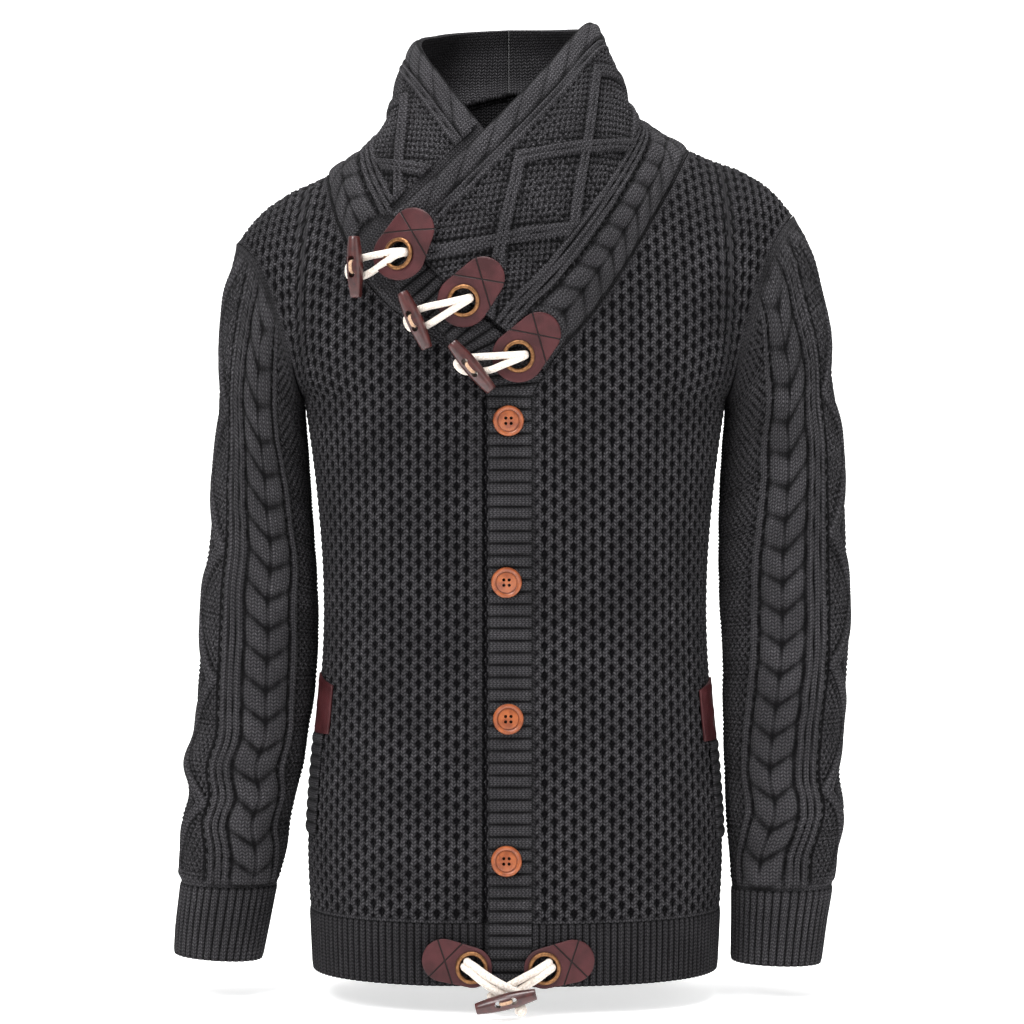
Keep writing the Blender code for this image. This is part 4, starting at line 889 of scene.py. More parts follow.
class Shader:
    """A material's node tree."""

    def __init__(self, name: str) -> None:
        """Args: the material's name."""
        self.material = bpy.data.materials.new(name)
        self.material.use_nodes = True
        self.tree = self.material.node_tree
        self.tree.nodes.clear()

    def node(self, kind: str, settings: dict, inputs: dict, output: Any = 0) -> Value:
        """Adds a node.

        Args:
            kind: its type
            settings: its properties
            inputs: a value or a constant for each socket, by name or place
            output: the output wanted, by name or place
        Returns:
            that output
        """
        made = self.tree.nodes.new(kind)
        for key, setting in settings.items():
            setattr(made, key, setting)
        for key, given in inputs.items():
            socket = made.inputs[key]
            if isinstance(given, Value):
                self.tree.links.new(given.socket, socket)
            else:
                socket.default_value = given
        return Value(self, made.outputs[output])

    def mix(self, factor: Any, first: Any, second: Any) -> Value:
        """A blend of two colours.

        Args:
            factor: the share of the second
            first, second: colours
        Returns:
            the blend
        """
        colors = [color if isinstance(color, Value) else (*color, 1.0) for color in (first, second)]
        settings = {"data_type": "RGBA"}
        return self.node("ShaderNodeMix", settings, {0: factor, 6: colors[0], 7: colors[1]}, 2)

    def place(self) -> Value:
        """Object coordinates, in metres."""
        return self.node("ShaderNodeTexCoord", {}, {}, "Object")

    def on_map(self) -> list:
        """The places across and along the piece's map, in mm."""
        place = self.node("ShaderNodeUVMap", {"uv_map": "knit"}, {})
        return [self.node("ShaderNodeSeparateXYZ", {}, {0: place}, axis) * (1 / UV_PER_MM) for axis in (0, 1)]

    def noise(self, scale: float, detail: float) -> Value:
        """Noise from 0 to 1, at `scale` per metre."""
        return self.node("ShaderNodeTexNoise", {}, {"Vector": self.place(), "Scale": scale, "Detail": detail})

    def cells(self, scale: float) -> Value:
        """The distance from the nearest of scattered points, at `scale` per metre."""
        return self.node("ShaderNodeTexVoronoi", {}, {"Vector": self.place(), "Scale": scale}, "Distance")

    def finish(self, color: Value, roughness: Any, height: Value, depth: float, **constants: Any) -> Material:
        """Joins everything in a Principled shader.

        Args:
            color: the base colour
            roughness: a value or a number
            height: the bump's height, about 0 to 1
            depth: the bump's depth in metres
            constants: other inputs, by name with _ for a space
        Returns:
            the material
        """
        bump = self.node("ShaderNodeBump", {}, {"Height": height, "Distance": depth, "Strength": 1.0})
        inputs = {key.replace("_", " "): value for key, value in constants.items()}
        inputs.update({"Base Color": color, "Roughness": roughness, "Normal": bump})
        surface = self.node("ShaderNodeBsdfPrincipled", {}, inputs)
        end = self.tree.nodes.new("ShaderNodeOutputMaterial")
        self.tree.links.new(surface.socket, end.inputs["Surface"])
        return self.material


@dataclass(frozen=True)
class Finish:
    """A material of one name, made when the first piece asks for it."""

    name: str

    def material(self) -> Material:
        """Finds the material, or makes it."""
        return bpy.data.materials.get(self.name) or self.make(Shader(self.name))

    def make(self, shader: Shader) -> Material:
        """Makes the material in an empty shader: each kind of finish has its own."""
        raise NotImplementedError


@dataclass(frozen=True)
class KnitFinish(Finish):
    """Heathered charcoal wool: V-shaped stitches, with painted shade in the knit's pits and between its stitch
    loops.
    """

    wide: float = 4.6  # a stitch across, mm
    tall: float = 2.8
    base: tuple = (0.075, 0.072, 0.078)
    # deep: the painted shade colour of the pits and of the gaps between loops, also the dark of the broad
    # random tone
    deep: tuple = (0.0028, 0.0026, 0.0032)
    fleck: tuple = (0.136, 0.130, 0.140)
    pit_shade_low: float = 0.22  # the relief share at which the painted pit shade is darkest, and that at which it ends
    pit_shade_high: float = 0.68

    def make(self, shader: Shader) -> Material:
        """Makes the material.

        Args:
            shader: its empty shader
        Returns:
            the material
        """
        u, v = shader.on_map()
        side = ((u / self.wide).fract() - 0.5).abs()
        leg = ((v / self.tall) - side * 1.3).fract() - 0.5
        loop = (1.0 - (leg * 2.0).abs() ** 1.6) * (1.0 - (side * 4.0 - 1.0).abs() ** 4.0)
        fibre = shader.noise(1900.0, 3.0)
        heather = shader.noise(620.0, 3.0)
        broad = shader.noise(26.0, 2.0)
        relief = shader.node("ShaderNodeAttribute", {"attribute_name": "relief"}, {}, "Fac")
        # painted shade: darker in the pits of the relief and between the stitch loops, down to the deep colour
        painted_light = relief.smooth(self.pit_shade_low, self.pit_shade_high) * (0.16 + loop * 0.84)
        yarn = shader.mix(heather.smooth(0.48, 0.76), self.base, self.fleck)
        yarn = shader.mix(broad.smooth(0.3, 0.7) * 0.28, yarn, self.deep)
        color = shader.mix(painted_light, self.deep, yarn)
        height = loop * 0.75 + fibre * 0.45
        return shader.finish(
            color, 0.92, height, 0.0018,
            Sheen_Weight=0.02, Sheen_Roughness=0.4, Specular_IOR_Level=0.04,
        )


@dataclass(frozen=True)
class LeatherFinish(Finish):
    """Dark oxblood leather with a fine grain, and pressed lines that cross where its map is 0."""

    name: str = "leather_oxblood"
    creased: bool = False
    dark: tuple = (0.036, 0.0078, 0.0090)
    light: tuple = (0.066, 0.0155, 0.0175)

    def make(self, shader: Shader) -> Material:
        """Makes the material.

        Args:
            shader: its empty shader
        Returns:
            the material
        """
        grain = shader.cells(1400.0)
        pores = shader.noise(3200.0, 3.0)
        worn = shader.noise(60.0, 4.0)
        color = shader.mix(worn.smooth(0.32, 0.70), self.dark, self.light)
        height = grain * 0.5 + pores * 0.25
        if self.creased:
            u, v = shader.on_map()
            lines = [(u * 0.85 + v * (sign * 0.53)).abs() for sign in (-1.0, 1.0)]
            near = (lines[0] * -1.0).top(lines[1] * -1.0) * -1.0
            line = near.smooth(0.25, 0.75)
            color = shader.mix(line, (0.006, 0.002, 0.002), color)
            height = height + line * 3.0
        return shader.finish(color, 0.40 + worn * 0.2, height, 0.0003, Specular_IOR_Level=0.25)


@dataclass(frozen=True)
class BrassFinish(Finish):
    """Antiqued brass, browner where it isn't rubbed."""

    name: str = "brass_antique"

    def make(self, shader: Shader) -> Material:
        """Makes the material.

        Args:
            shader: its empty shader
        Returns:
            the material
        """
        tarnish = shader.noise(420.0, 5.0)
        brush = shader.noise(1800.0, 3.0)
        color = shader.mix(tarnish.smooth(0.38, 0.66), (0.27, 0.135, 0.06), (0.15, 0.072, 0.034))
        return shader.finish(color, 0.28 + tarnish * 0.3, brush, 0.00012, Metallic=1.0)


@dataclass(frozen=True)
class HornFinish(Finish):
    """Polished red-brown horn with clouds and fine veins."""

    name: str = "horn_toggle"
    dark: tuple = (0.026, 0.0050, 0.0048)
    light: tuple = (0.066, 0.0125, 0.0110)

    def make(self, shader: Shader) -> Material:
        """Makes the material.

        Args:
            shader: its empty shader
        Returns:
            the material
        """
        cloud = shader.noise(190.0, 5.0)
        vein = shader.noise(750.0, 4.0)
        color = shader.mix((cloud * 0.8 + vein * 0.2).smooth(0.30, 0.70), self.dark, self.light)
        return shader.finish(color, 0.30 + vein * 0.10, vein, 0.00004, Coat_Weight=0.35, Coat_Roughness=0.15)


@dataclass(frozen=True)
class CordFinish(Finish):
    """Matt cord, off-white by default, with fine strands and fibres, painted shade in the gaps between
    strands, and a little soiled.
    """

    name: str = "cord_cream"
    light: tuple = (0.80, 0.73, 0.66)
    dark: tuple = (0.50, 0.41, 0.34)

    def make(self, shader: Shader) -> Material:
        """Makes the material.

        Args:
            shader: its empty shader
        Returns:
            the material
        """
        strands = shader.cells(720.0)
        fibre = shader.noise(2600.0, 3.0)
        dirt = shader.noise(90.0, 3.0)
        # painted shade: darker in the low gaps between strands, where the bump sinks
        color = shader.mix(strands.smooth(0.35, 0.95) * 0.7, self.light, self.dark)
        color = shader.mix(dirt.smooth(0.4, 0.8) * 0.2, color, self.dark)
        return shader.finish(color, 0.9, (1.0 - strands) * 0.6 + fibre * 0.3, 0.0006, Sheen_Weight=0.2)


@dataclass(frozen=True)
class ButtonFinish(Finish):
    """Glossy orange-brown resin with a marbled cloud in it."""

    name: str = "button_amber"
    dark: tuple = (0.18, 0.037, 0.008)
    light: tuple = (0.32, 0.082, 0.020)

    def make(self, shader: Shader) -> Material:
        """Makes the material.

        Args:
            shader: its empty shader
        Returns:
            the material
        """
        cloud = shader.noise(150.0, 5.0)
        scratch = shader.noise(2200.0, 2.0)
        color = shader.mix(cloud.smooth(0.30, 0.68), self.dark, self.light)
        rough = 0.24 + cloud * 0.12
        return shader.finish(color, rough, scratch, 0.00005, Coat_Weight=0.2, Coat_Roughness=0.15)


# ---------- the body


@dataclass
class Body:
    """The back, the two fronts and the ribbed hem below them."""

    form: BodyForm
    knit: KnitFinish
    rib: KnitFinish
    step: float = 7.7 / 4  # between the grid's columns
    rows_below: int = 208  # rows from the hem to the armpits
    row_rise: float = 2.0  # between the rows above them
    reach: float = 330.0  # of the columns to each side of the middle
    hole_columns: int = 4
    hole_rows: int = 6
    deep: float = -1.9  # the relief in the knit's holes, and how far it rises from there
    high: float = 2.5
    cloth: float = 3.5
    rib_cloth: float = 3.2
    rib_pitch: float = 5.8
    rib_samples: int = 6  # columns to a rib
    rib_rows: int = 17
    edges: dict = field(default_factory=dict)

    def levels(self, face: Face) -> Array:
        """A panel's levels, from the top of the hem to the shoulder."""
        below = np.linspace(HEM_TOP_Z - ARMPIT_Z, 0, self.rows_below + 1)[:-1]
        rises = self.form.rises()
        run = arc_lengths(self.form.point(self.form.armhole_x(rises), rises, face))
        wanted = np.linspace(0, run[-1], int(round(run[-1] / self.row_rise)) + 1)
        return np.concatenate([below, np.interp(wanted, run, rises)])

    def row(self, level: float, start: float, end: float, face: Face, columns: Array) -> tuple:
        """One row of a panel.

        Args:
            level: its level
            start, end: its ends' x
            face: the side of the body
            columns: the distance of every column from the middle, along the cloth
        Returns:
            the points, the columns' places, and the first and last column kept
        """
        x = self.form.turn_x(level, np.linspace(-math.pi / 2, math.pi / 2, 721))
        line = self.form.point(x, level, face)
        run = arc_lengths(line)
        run = run - np.interp(0.0, x, run)
        first, last = np.interp([start, end], x, run)
        low = int(np.argmax(columns > first + 0.6)) - 1
        high = len(columns) - int(np.argmax(columns[::-1] < last - 0.6))
        place = np.clip(columns, first, last)
        place[: low + 1], place[high:] = first, last
        points = between(place, run, line)
        points[: low + 1], points[high:] = self.form.point(np.array([start, end]), level, face)
        return points, place, low, high

    def panel(self, name: str, face: Face, spans: Callable[[float], tuple], dip: bool = False) -> None:
        """Builds a panel.

        Args:
            name: its CAD node
            face: the side of the body
            spans: the x of its ends at a level
            dip: whether it lies back under the other front
        """
        levels = self.levels(face)
        reach = math.ceil(self.reach / self.step)
        columns = np.arange(-reach, reach + 1) * self.step
        rows = [self.row(level, *spans(level), face, columns) for level in levels]
        low, high = (np.array([row[k] for row in rows]) for k in (2, 3))
        trim = slice(low.min(), high.max() + 1)
        grid = np.stack([row[0] for row in rows], 1)[trim]
        u = np.stack([row[1] for row in rows], 1)[trim]
        low, high = low - trim.start, high - trim.start
        facing = grid_normals(grid, (0, face.value, 0))
        level = np.broadcast_to(levels, u.shape)
        v = np.where(level < 0, level, self.form.climb(face)(grid[..., 0], np.clip(level, 0, 1)))
        index = np.arange(len(levels))
        below, above = levels <= 0, levels >= 0
        ends = ((low, -1), (high, 1)) if face is Face.BACK else ((low, -1),) if dip else ((high, 1),)
        for at, sign in ends:
            grid[at[below], index[below], 1] += face.value * SEAM_GAP / 2
            facing[at[below], index[below]] = (sign, 0, 0)
            self.edges[face, Hand(sign)] = (grid[at, index][above], facing[at, index][above])
        shoulder = grid[:, -1, 1] <= self.form.shoulder_y + 0.01
        if face is Face.BACK:
            shoulder &= grid[:, -1, 1] >= self.form.shoulder_y - 0.01
        grid[shoulder, -1, 1] += face.value * SEAM_GAP / 2
        facing[shoulder, -1, 1] = 0
        facing[:, 0, 2] = 0
        facing = unit(facing)
        if dip:
            grid[..., 1] += wrap_dip(grid[..., 0])
        inset = np.minimum(u - u[low, index], u[high, index] - u)
        edge = smoothstep(inset, 0, 6) * smoothstep(np.minimum(v - v.min(), 1e3), 0, 5)
        edge = edge * (1 - smoothstep(np.broadcast_to(index, u.shape), len(levels) - 4, len(levels) - 1))
        pitch, rise = self.hole_columns * self.step, self.hole_rows * (HEM_TOP_Z - ARMPIT_Z) / self.rows_below
        cell = cell_holes(u, v, pitch, rise)
        relief = (self.deep + self.high * cell) * edge - 0.2 * (1 - edge)
        # the furrow darkens the painted pit shade beside the band into a painted shadow
        if dip:
            relief = relief - beside_band(grid)
        Cloth(
            f"knit_{name}", name, grid, facing, relief, np.stack([u, v], -1), self.cloth, self.knit,
            low=low, high=high, inner_step=(3, 3),
        ).build()

    def rib_panel(
        self, name: str, face: Face, start: float, end: float, length: float, dip: bool = False
    ) -> None:
        """Builds a ribbed hem piece.

        Args:
            name: its CAD node
            face: the side of the body
            start, end: the x of its ends, cut at the side seams
            length: about how long it is, from which its ribs are counted
            dip: whether it lies back under the other front
        """
        count = int(round(length / self.rib_pitch)) * self.rib_samples + 1
        lines = []
        for z in np.linspace(HEM_Z, HEM_TOP_Z - SEAM_GAP, self.rib_rows):
            level = z - ARMPIT_Z
            limit = self.form.half_width(level)
            ends = [max(-limit, min(limit, x)) for x in (start, end)]
            turns = [math.asin(min(abs(x) / limit, 1) ** (self.form.torso_power / 2)) for x in ends]
            x = self.form.turn_x(level, np.linspace(*map(math.copysign, turns, ends), 600))
            x[0], x[-1] = ends
            lines.append(resample(self.form.point(x, level, face), np.linspace(0, 1, count)))
        grid = np.stack(lines, 1)
        if dip:
            grid[..., 1] += wrap_dip(grid[..., 0])
        facing = grid_normals(grid, (0, face.value, 0))
        for side in (0, -1):
            if abs(grid[side, 0, 1]) < 3:
                grid[side, :, 1] += face.value * SEAM_GAP / 2
                facing[side, :, 1] = 0
        facing[..., 2] = 0
        facing = unit(facing)
        run = np.broadcast_to(arc_lengths(grid)[:, :1], grid.shape[:2])
        phase = np.broadcast_to(np.arange(count)[:, None] / self.rib_samples, run.shape)
        v = np.broadcast_to(np.linspace(0, HEM_TOP_Z - HEM_Z, self.rib_rows), run.shape)
        relief = -1.1 + 2.1 * humps(phase, 0.65)
        relief = relief - 0.5 * (1 - smoothstep(v, 0, 5)) - 0.5 * smoothstep(v, 44, 49)
        # the furrow darkens the painted pit shade beside the band into a painted shadow
        if dip:
            relief = relief - 0.7 * beside_band(grid)
        Cloth(
            f"knit_{name}", name, grid, facing, relief, np.stack([run, v], -1), self.rib_cloth, self.rib,
            inner_step=(self.rib_samples, 4),
        ).build()

    def build(self) -> None:
        """Builds the panels and the hem."""
        side, edge = self.form.edge_x, self.form.front_edge
        self.panel("back", Face.BACK, lambda level: (-side(level), side(level)))
        self.panel("front_left", Face.FRONT, lambda level: (edge(Hand.LEFT, level), side(level)))
        self.panel("front_right", Face.FRONT, lambda level: (-side(level), edge(Hand.RIGHT, level)), True)
        self.rib_panel("hem_front_left", Face.FRONT, self.form.band_edge_x + 0.1, 400.0, 230)
        self.rib_panel("hem_front_right", Face.FRONT, -400.0, 6.0, 230, True)
        self.rib_panel("hem_back", Face.BACK, -400.0, 400.0, 470)


# ---------- the sleeves


@dataclass
class Sleeves:
    """The cabled sleeves and their ribbed cuffs."""

    body: Body
    knit: KnitFinish
    rib: KnitFinish
    power: float = 2.1  # of its sections: 2 is an ellipse
    columns: int = 192
    cuff_row: int = 16  # the table's row where the cuff begins
    cuff_ribs: int = 38
    rib_samples: int = 6
    rib_rows: int = 17
    row_step: float = 2.0
    armhole_gap: float = 0.6
    armhole_fade: float = 90.0  # how far down the armhole's shape still shows
    cloth: float = 3.4
    rib_cloth: float = 3.2

    def table(self, hand: Hand) -> tuple:
        """The runs of a sleeve's table rows, and a spline of its sections against run."""
        rows = SLEEVE[hand]
        outer = np.array([(row.outer_x, row.outer_z) for row in rows])
        inner = np.array([(row.inner_x, row.inner_z) for row in rows])
        run = arc_lengths((outer + inner) / 2)
        values = np.concatenate([outer, inner, [[row.half_depth, row.middle_y] for row in rows]], 1)
        return run, spline(run, values)

    def armhole(self, hand: Hand, turns: Array) -> tuple:
        """Points and normals of the panels' edges round an armhole at some turns.

        Args:
            hand: which armhole
            turns: shares of the way round, from the shoulder down the front
        Returns:
            the points and the normals
        """
        found = []
        for turn in turns % 1.0:
            points, facing = self.body.edges[Face.FRONT if turn <= 0.5 else Face.BACK, hand]
            run = arc_lengths(points)
            found.append(between(abs(1 - 2 * turn) * run[-1], run, np.concatenate([points, facing], 1)))
        table = np.array(found)
        loop = table[:, :3] + (hand.value * self.armhole_gap, 0, 0)
        loop[np.isclose(turns % 1.0, 0), 1] = self.body.form.shoulder_y
        loop[np.isclose(turns % 1.0, 0.5), 1] = 0
        return loop, unit(table[:, 3:])

    def surface(self, hand: Hand, turns: Array, runs: Array, loop: Optional[Array] = None) -> Array:
        """A sleeve's outer surface [around, down], fitted to the armhole at its top.

        Args:
            hand: which sleeve
            turns: shares of the way round
            runs: distances down the table
            loop: the armhole's points
        Returns:
            the points
        """
        table, at = self.table(hand)
        outer_x, outer_z, inner_x, inner_z, half_depth, middle_y = np.moveaxis(at(runs), -1, 0)
        angle = 2 * math.pi * turns[:, None]
        over = np.sign(np.cos(angle)) * np.abs(np.cos(angle)) ** (2 / self.power)
        ahead = np.sign(np.sin(angle)) * np.abs(np.sin(angle)) ** (2 / self.power)
        x = (outer_x + inner_x) / 2 + (outer_x - inner_x) / 2 * over
        z = (outer_z + inner_z) / 2 + (outer_z - inner_z) / 2 * over
        grid = np.stack([x, middle_y - half_depth * ahead, z], -1)
        if loop is not None:
            fade = 1 - smoothstep(runs, table[0], table[0] + self.armhole_fade)
            grid += (loop - grid[:, 0])[:, None, :] * fade[None, :, None]
        return grid

    def squared(self, facing: Array, ring: Array) -> Array:
        """Normals along a ring, laid into the ring's plane."""
        quarter = len(ring) // 4
        axis = unit(np.cross(ring[quarter] - ring[0], ring[2 * quarter] - ring[0]))
        return unit(facing - (facing @ axis)[:, None] * axis)

    def facing(self, grid: Array, hand: Hand) -> Array:
        """Outward normals of a tube whose middle column is its outer line."""
        found = grid_normals(grid, (0, 0, 0), closed=True)
        return found if found[len(grid) // 2, -1, 0] * hand.value > 0 else -found

    def lengths(self, grid: Array) -> Array:
        """The distance round each ring from the outer line, with the first column once more at the end."""
        run = arc_lengths(np.concatenate([grid, grid[:1]]))
        return run - run[len(grid) // 2]

    def relief(self, u: Array, v: Array) -> Array:
        """The sleeve's cables: u is the distance from the outer line, v the distance down.

        Args:
            u, v: both distances
        Returns:
            the relief
        """
        away = np.abs(u)
        high = np.where(away < 46, lattice(u, v, 0, 38, 98, 4.4), moss(u, v)) - 0.9
        for middle in (51, 57, 63):
            high = np.where(np.abs(away - middle) < 3, ridge(away, middle, 2.9, 3.4) - 1.0, high)
        high = np.where(np.abs(away - 86) < 19, plait(away, v, 86, 18.5, 25, 5.0) - 0.9, high)
        return np.where(np.abs(away - 109.5) < 3.5, ridge(away, 109.5, 3.4, 3.2) - 0.9, high)

    def build(self) -> None:
        """Builds both sleeves and both cuffs."""
        for hand in Hand:
            word = hand.name.lower()
            table, _ = self.table(hand)
            end = table[self.cuff_row] - SEAM_GAP
            runs = np.linspace(0, end, int(end / self.row_step))
            turns = 0.5 + np.arange(self.columns) / self.columns
            loop, armhole_facing = self.armhole(hand, turns)
            grid = self.surface(hand, turns, runs, loop)
            facing = self.facing(grid, hand)
            join_facing(facing, armhole_facing, 0.0, 0.6)
            facing[:, -1] = self.squared(facing[:, -1], grid[:, -1])
            u = self.lengths(grid)
            v = np.broadcast_to(runs, u.shape)
            fade = (smoothstep(v, 2, 16) * (1 - smoothstep(v, end - 8, end - 1)))[:-1]
            relief = self.relief(u, v)[:-1] * fade
            Cloth(
                f"knit_sleeve_{word}", f"sleeve_{word}", grid, facing, relief, np.stack([u, v], -1),
                self.cloth, self.knit, closed=True,
            ).build()
            self.build_cuff(hand, word, table)

    def build_cuff(self, hand: Hand, word: str, table: Array) -> None:
        """Builds a ribbed cuff below a sleeve.

        Args:
            hand: which
            word: the same in its name
            table: the runs of the sleeve's table rows
        """
        count = self.cuff_ribs * self.rib_samples
        turns = 0.5 + np.arange(count) / count
        runs = np.linspace(table[self.cuff_row], table[-1], self.rib_rows)
        grid = self.surface(hand, turns, runs)
        facing = self.facing(grid, hand)
        facing[:, 0] = self.squared(facing[:, 0], grid[:, 0])
        u = self.lengths(grid)
        v = np.broadcast_to(runs - runs[0], u.shape)
        phase = np.arange(count)[:, None] / self.rib_samples
        relief = -1.0 + 2.0 * humps(phase, 0.65) - 0.5 * (1 - smoothstep(v[:-1], 0, 4))
        relief = relief - 0.6 * smoothstep(v[:-1], v.max() - 4, v.max())
        Cloth(
            f"knit_cuff_{word}", f"cuff_{word}", grid, facing, relief, np.stack([u, v], -1), self.rib_cloth,
            self.rib, closed=True, inner_step=(self.rib_samples, 4),
        ).build()


# ---------- the collar


@dataclass
class Collar:
    """The two cabled halves of the wrap collar."""

    form: BodyForm
    knit: KnitFinish
    along_step: float = 1.7  # between rows
    columns: int = 104
    gap: float = 0.8  # to the body along the seam
    back_x: float = -5.2  # the x of the seam behind the neck
    cloth: float = 3.4

    def neck_line(self, hand: Hand) -> Array:
        """The whole neck seam of one half as fine points, from the band round to the middle back."""
        rise = self.form.rises()
        front = self.form.point(self.form.seams[hand](rise), rise, Face.FRONT)
        if hand is Hand.RIGHT:
            front[..., 1] += wrap_dip(front[..., 0])
        back = self.form.point(np.linspace(NECK_SEAM[hand][-1].x, -5.5, 400), 1.0, Face.BACK)
        return np.concatenate([front, back[1:]])

    def surface(self, hand: Hand, widths: Array) -> Array:
        """A collar half's outer surface [along, across].

        Args:
            hand: which half
            widths: shares of the way from the seam to the free edge
        Returns:
            the points
        """
        line = self.neck_line(hand)
        run = arc_lengths(line)
        rows = COLLAR[hand]
        near = [int(np.argmin(np.sum((line[:, [0, 2]] - row.seam) ** 2, 1))) for row in rows]
        knots = run[near] / run[-1]
        count = int((knots[-1] - knots[0]) * run[-1] / self.along_step)
        shares = np.linspace(knots[0], knots[-1], count)
        lines = [resample(line, shares)]
        for name in ("low", "middle", "high", "edge"):
            lines.append(spline(knots, [getattr(row, name) for row in rows])(shares))
        return np.moveaxis(spline(np.linspace(0, 1, 5), np.stack(lines))(widths), 0, 1)

    def body_facing(self, seam: Array) -> Array:
        """The body's outward normals along the seam.

        Args:
            seam: its points
        Returns:
            a normal for each
        """
        x, z = seam[:, 0], seam[:, 2]
        rise = np.clip(self.form.rise_of(x, z), 0.02, 0.985)
        facing = np.empty_like(seam)
        for face in Face:
            here = (seam[:, 1] > self.form.shoulder_y) == (face is Face.BACK)
            side = self.form.point(x + 0.5, rise, face) - self.form.point(x - 0.5, rise, face)
            up = self.form.point(x, rise + 0.01, face) - self.form.point(x, rise - 0.01, face)
            found = unit(np.cross(side, up))
            found *= np.where(found[:, 1:2] * face.value + found[:, 2:3] * 0.2 > 0, 1, -1)
            facing[here] = found[here]
        return facing

    def relief(self, w: Array, v: Array, seam_gap: Array) -> Array:
        """The cables: w is the distance from the free edge, v that along, seam_gap that from the seam.

        Args:
            w, v, seam_gap: those distances
        Returns:
            the relief
        """
        seed = moss(w, v) - 0.9
        cord = smoothstep(w, 30, 34)
        high = np.where(w < 20, rope(w, v, 10.5, 9.5, 32, 4.4) - 0.7, seed)
        for middle in (22.2, 27.2):
            high = np.where(np.abs(w - middle) < 2.6, ridge(w, middle, 2.5, 3.2) - 0.9, high)
        inner = smoothstep(seam_gap, 46, 60) * smoothstep(w, 30, 36)
        diamonds = lattice(w, v, 76, 36, 104, 4.4) - 0.9
        high = np.where(inner > 0.5, np.maximum(seed, diamonds), high)
        for middle in (43, 48.5, 54):
            cords = ridge(seam_gap, middle, 2.7, 3.4) - 1.0
            high = np.where((np.abs(seam_gap - middle) < 2.75) & (cord > 0.5), cords, high)
        braid = plait(seam_gap, v, 20, 18, 25, 4.8) - 0.9
        return np.where((seam_gap < 38) & (cord > 0.5), braid, high)

    def patch_clearing(self, points: Array) -> Array:
        """1 on open cloth, falling to 0 where a leather patch presses the knit flat.

        Args:
            points: the collar's
        Returns:
            a share for each
        """
        clear = np.ones(points.shape[:2])
        flat = points[..., [0, 2]]
        for patch in PATCHES[:3]:
            start = np.array(patch.eyelet)
            along = unit(np.array(patch.wide_end) - start)
            ahead = np.clip((flat - start) @ along, 0, patch.reach)
            away = np.linalg.norm(flat - start - ahead[..., None] * along, axis=-1)
            size = patch.nose + (Fastenings.patch_end - patch.nose) * ahead / patch.reach
            clear = np.minimum(clear, smoothstep(away - size, -3.0, 0.6))
        return clear

    def open_cloth(self, points: Array) -> Array:
        """1 where the under collar shows, 0 where the other half or the button band lies over it.

        Args:
            points: the collar's
        Returns:
            a share for each
        """
        line = BandForm().line(60)[0]
        line = (line[:, :2] + line[:, 2:]) / 2
        near = np.linalg.norm(points[..., None, [0, 2]] - line, axis=-1).min(-1) < 24
        clear = np.where(near, 0.0, 1.0)
        for place in zip(*np.nonzero((points[..., 1] < -30) & ~near)):
            x, y, z = points[place]
            for spot in ((x, z), (x - 7, z - 5), (x - 7, z + 7), (x + 3, z - 8)):
                cover = NodeTrees.outermost_y(*spot, ("collar_left",))
                if cover is not None and cover < y:
                    clear[place] = 0
        return clear

    def build(self) -> None:
        """Builds both halves."""
        widths = np.linspace(0, 1, self.columns)
        for hand in Hand:
            word = hand.name.lower()
            grid = self.surface(hand, widths)
            seam_facing = self.body_facing(grid[:, 0])
            meet = smoothstep(np.arange(len(grid)), len(grid) - 9, len(grid) - 1)[:, None]
            grid[..., 0] += (self.back_x + hand.value * 0.02 - grid[-1, :, 0]) * meet
            facing = grid_normals(grid, (0, -1, 0))
            probe = grid[len(grid) // 3, self.columns // 2]
            if np.dot(facing[len(grid) // 3, self.columns // 2], probe - grid.mean((0, 1))) < 0:
                facing = -facing
            join_facing(facing, seam_facing, -0.2, 0.5)
            facing[-1, :, 0] = 0
            facing = unit(facing)
            along = unit(np.gradient(grid[:, 0], axis=0))
            away = grid[:, 3] - grid[:, 0]
            inward = unit(away - np.sum(away * along, -1, keepdims=True) * along)
            grid[:, 0] += inward * self.gap
            run_across = np.moveaxis(arc_lengths(np.moveaxis(grid, 1, 0)), 0, 1)
            w = run_across[:, -1:] - run_across
            v = np.broadcast_to(arc_lengths(grid[:, self.columns // 2])[:, None], w.shape)
            behind = grid[..., 1] > 0
            from_seam = smoothstep(run_across, np.where(behind, 3, 0), np.where(behind, 16, 3))
            fade = smoothstep(w, 0, 2.5) * from_seam
            fade = fade * (self.patch_clearing(grid) if hand is Hand.LEFT else self.open_cloth(grid))
            relief = self.relief(w, v, run_across) * fade
            Cloth(
                f"knit_collar_{word}", f"collar_{word}", grid, facing, relief, np.stack([v, w], -1),
                self.cloth, self.knit, held="folded",
            ).build()


# ---------- the button band


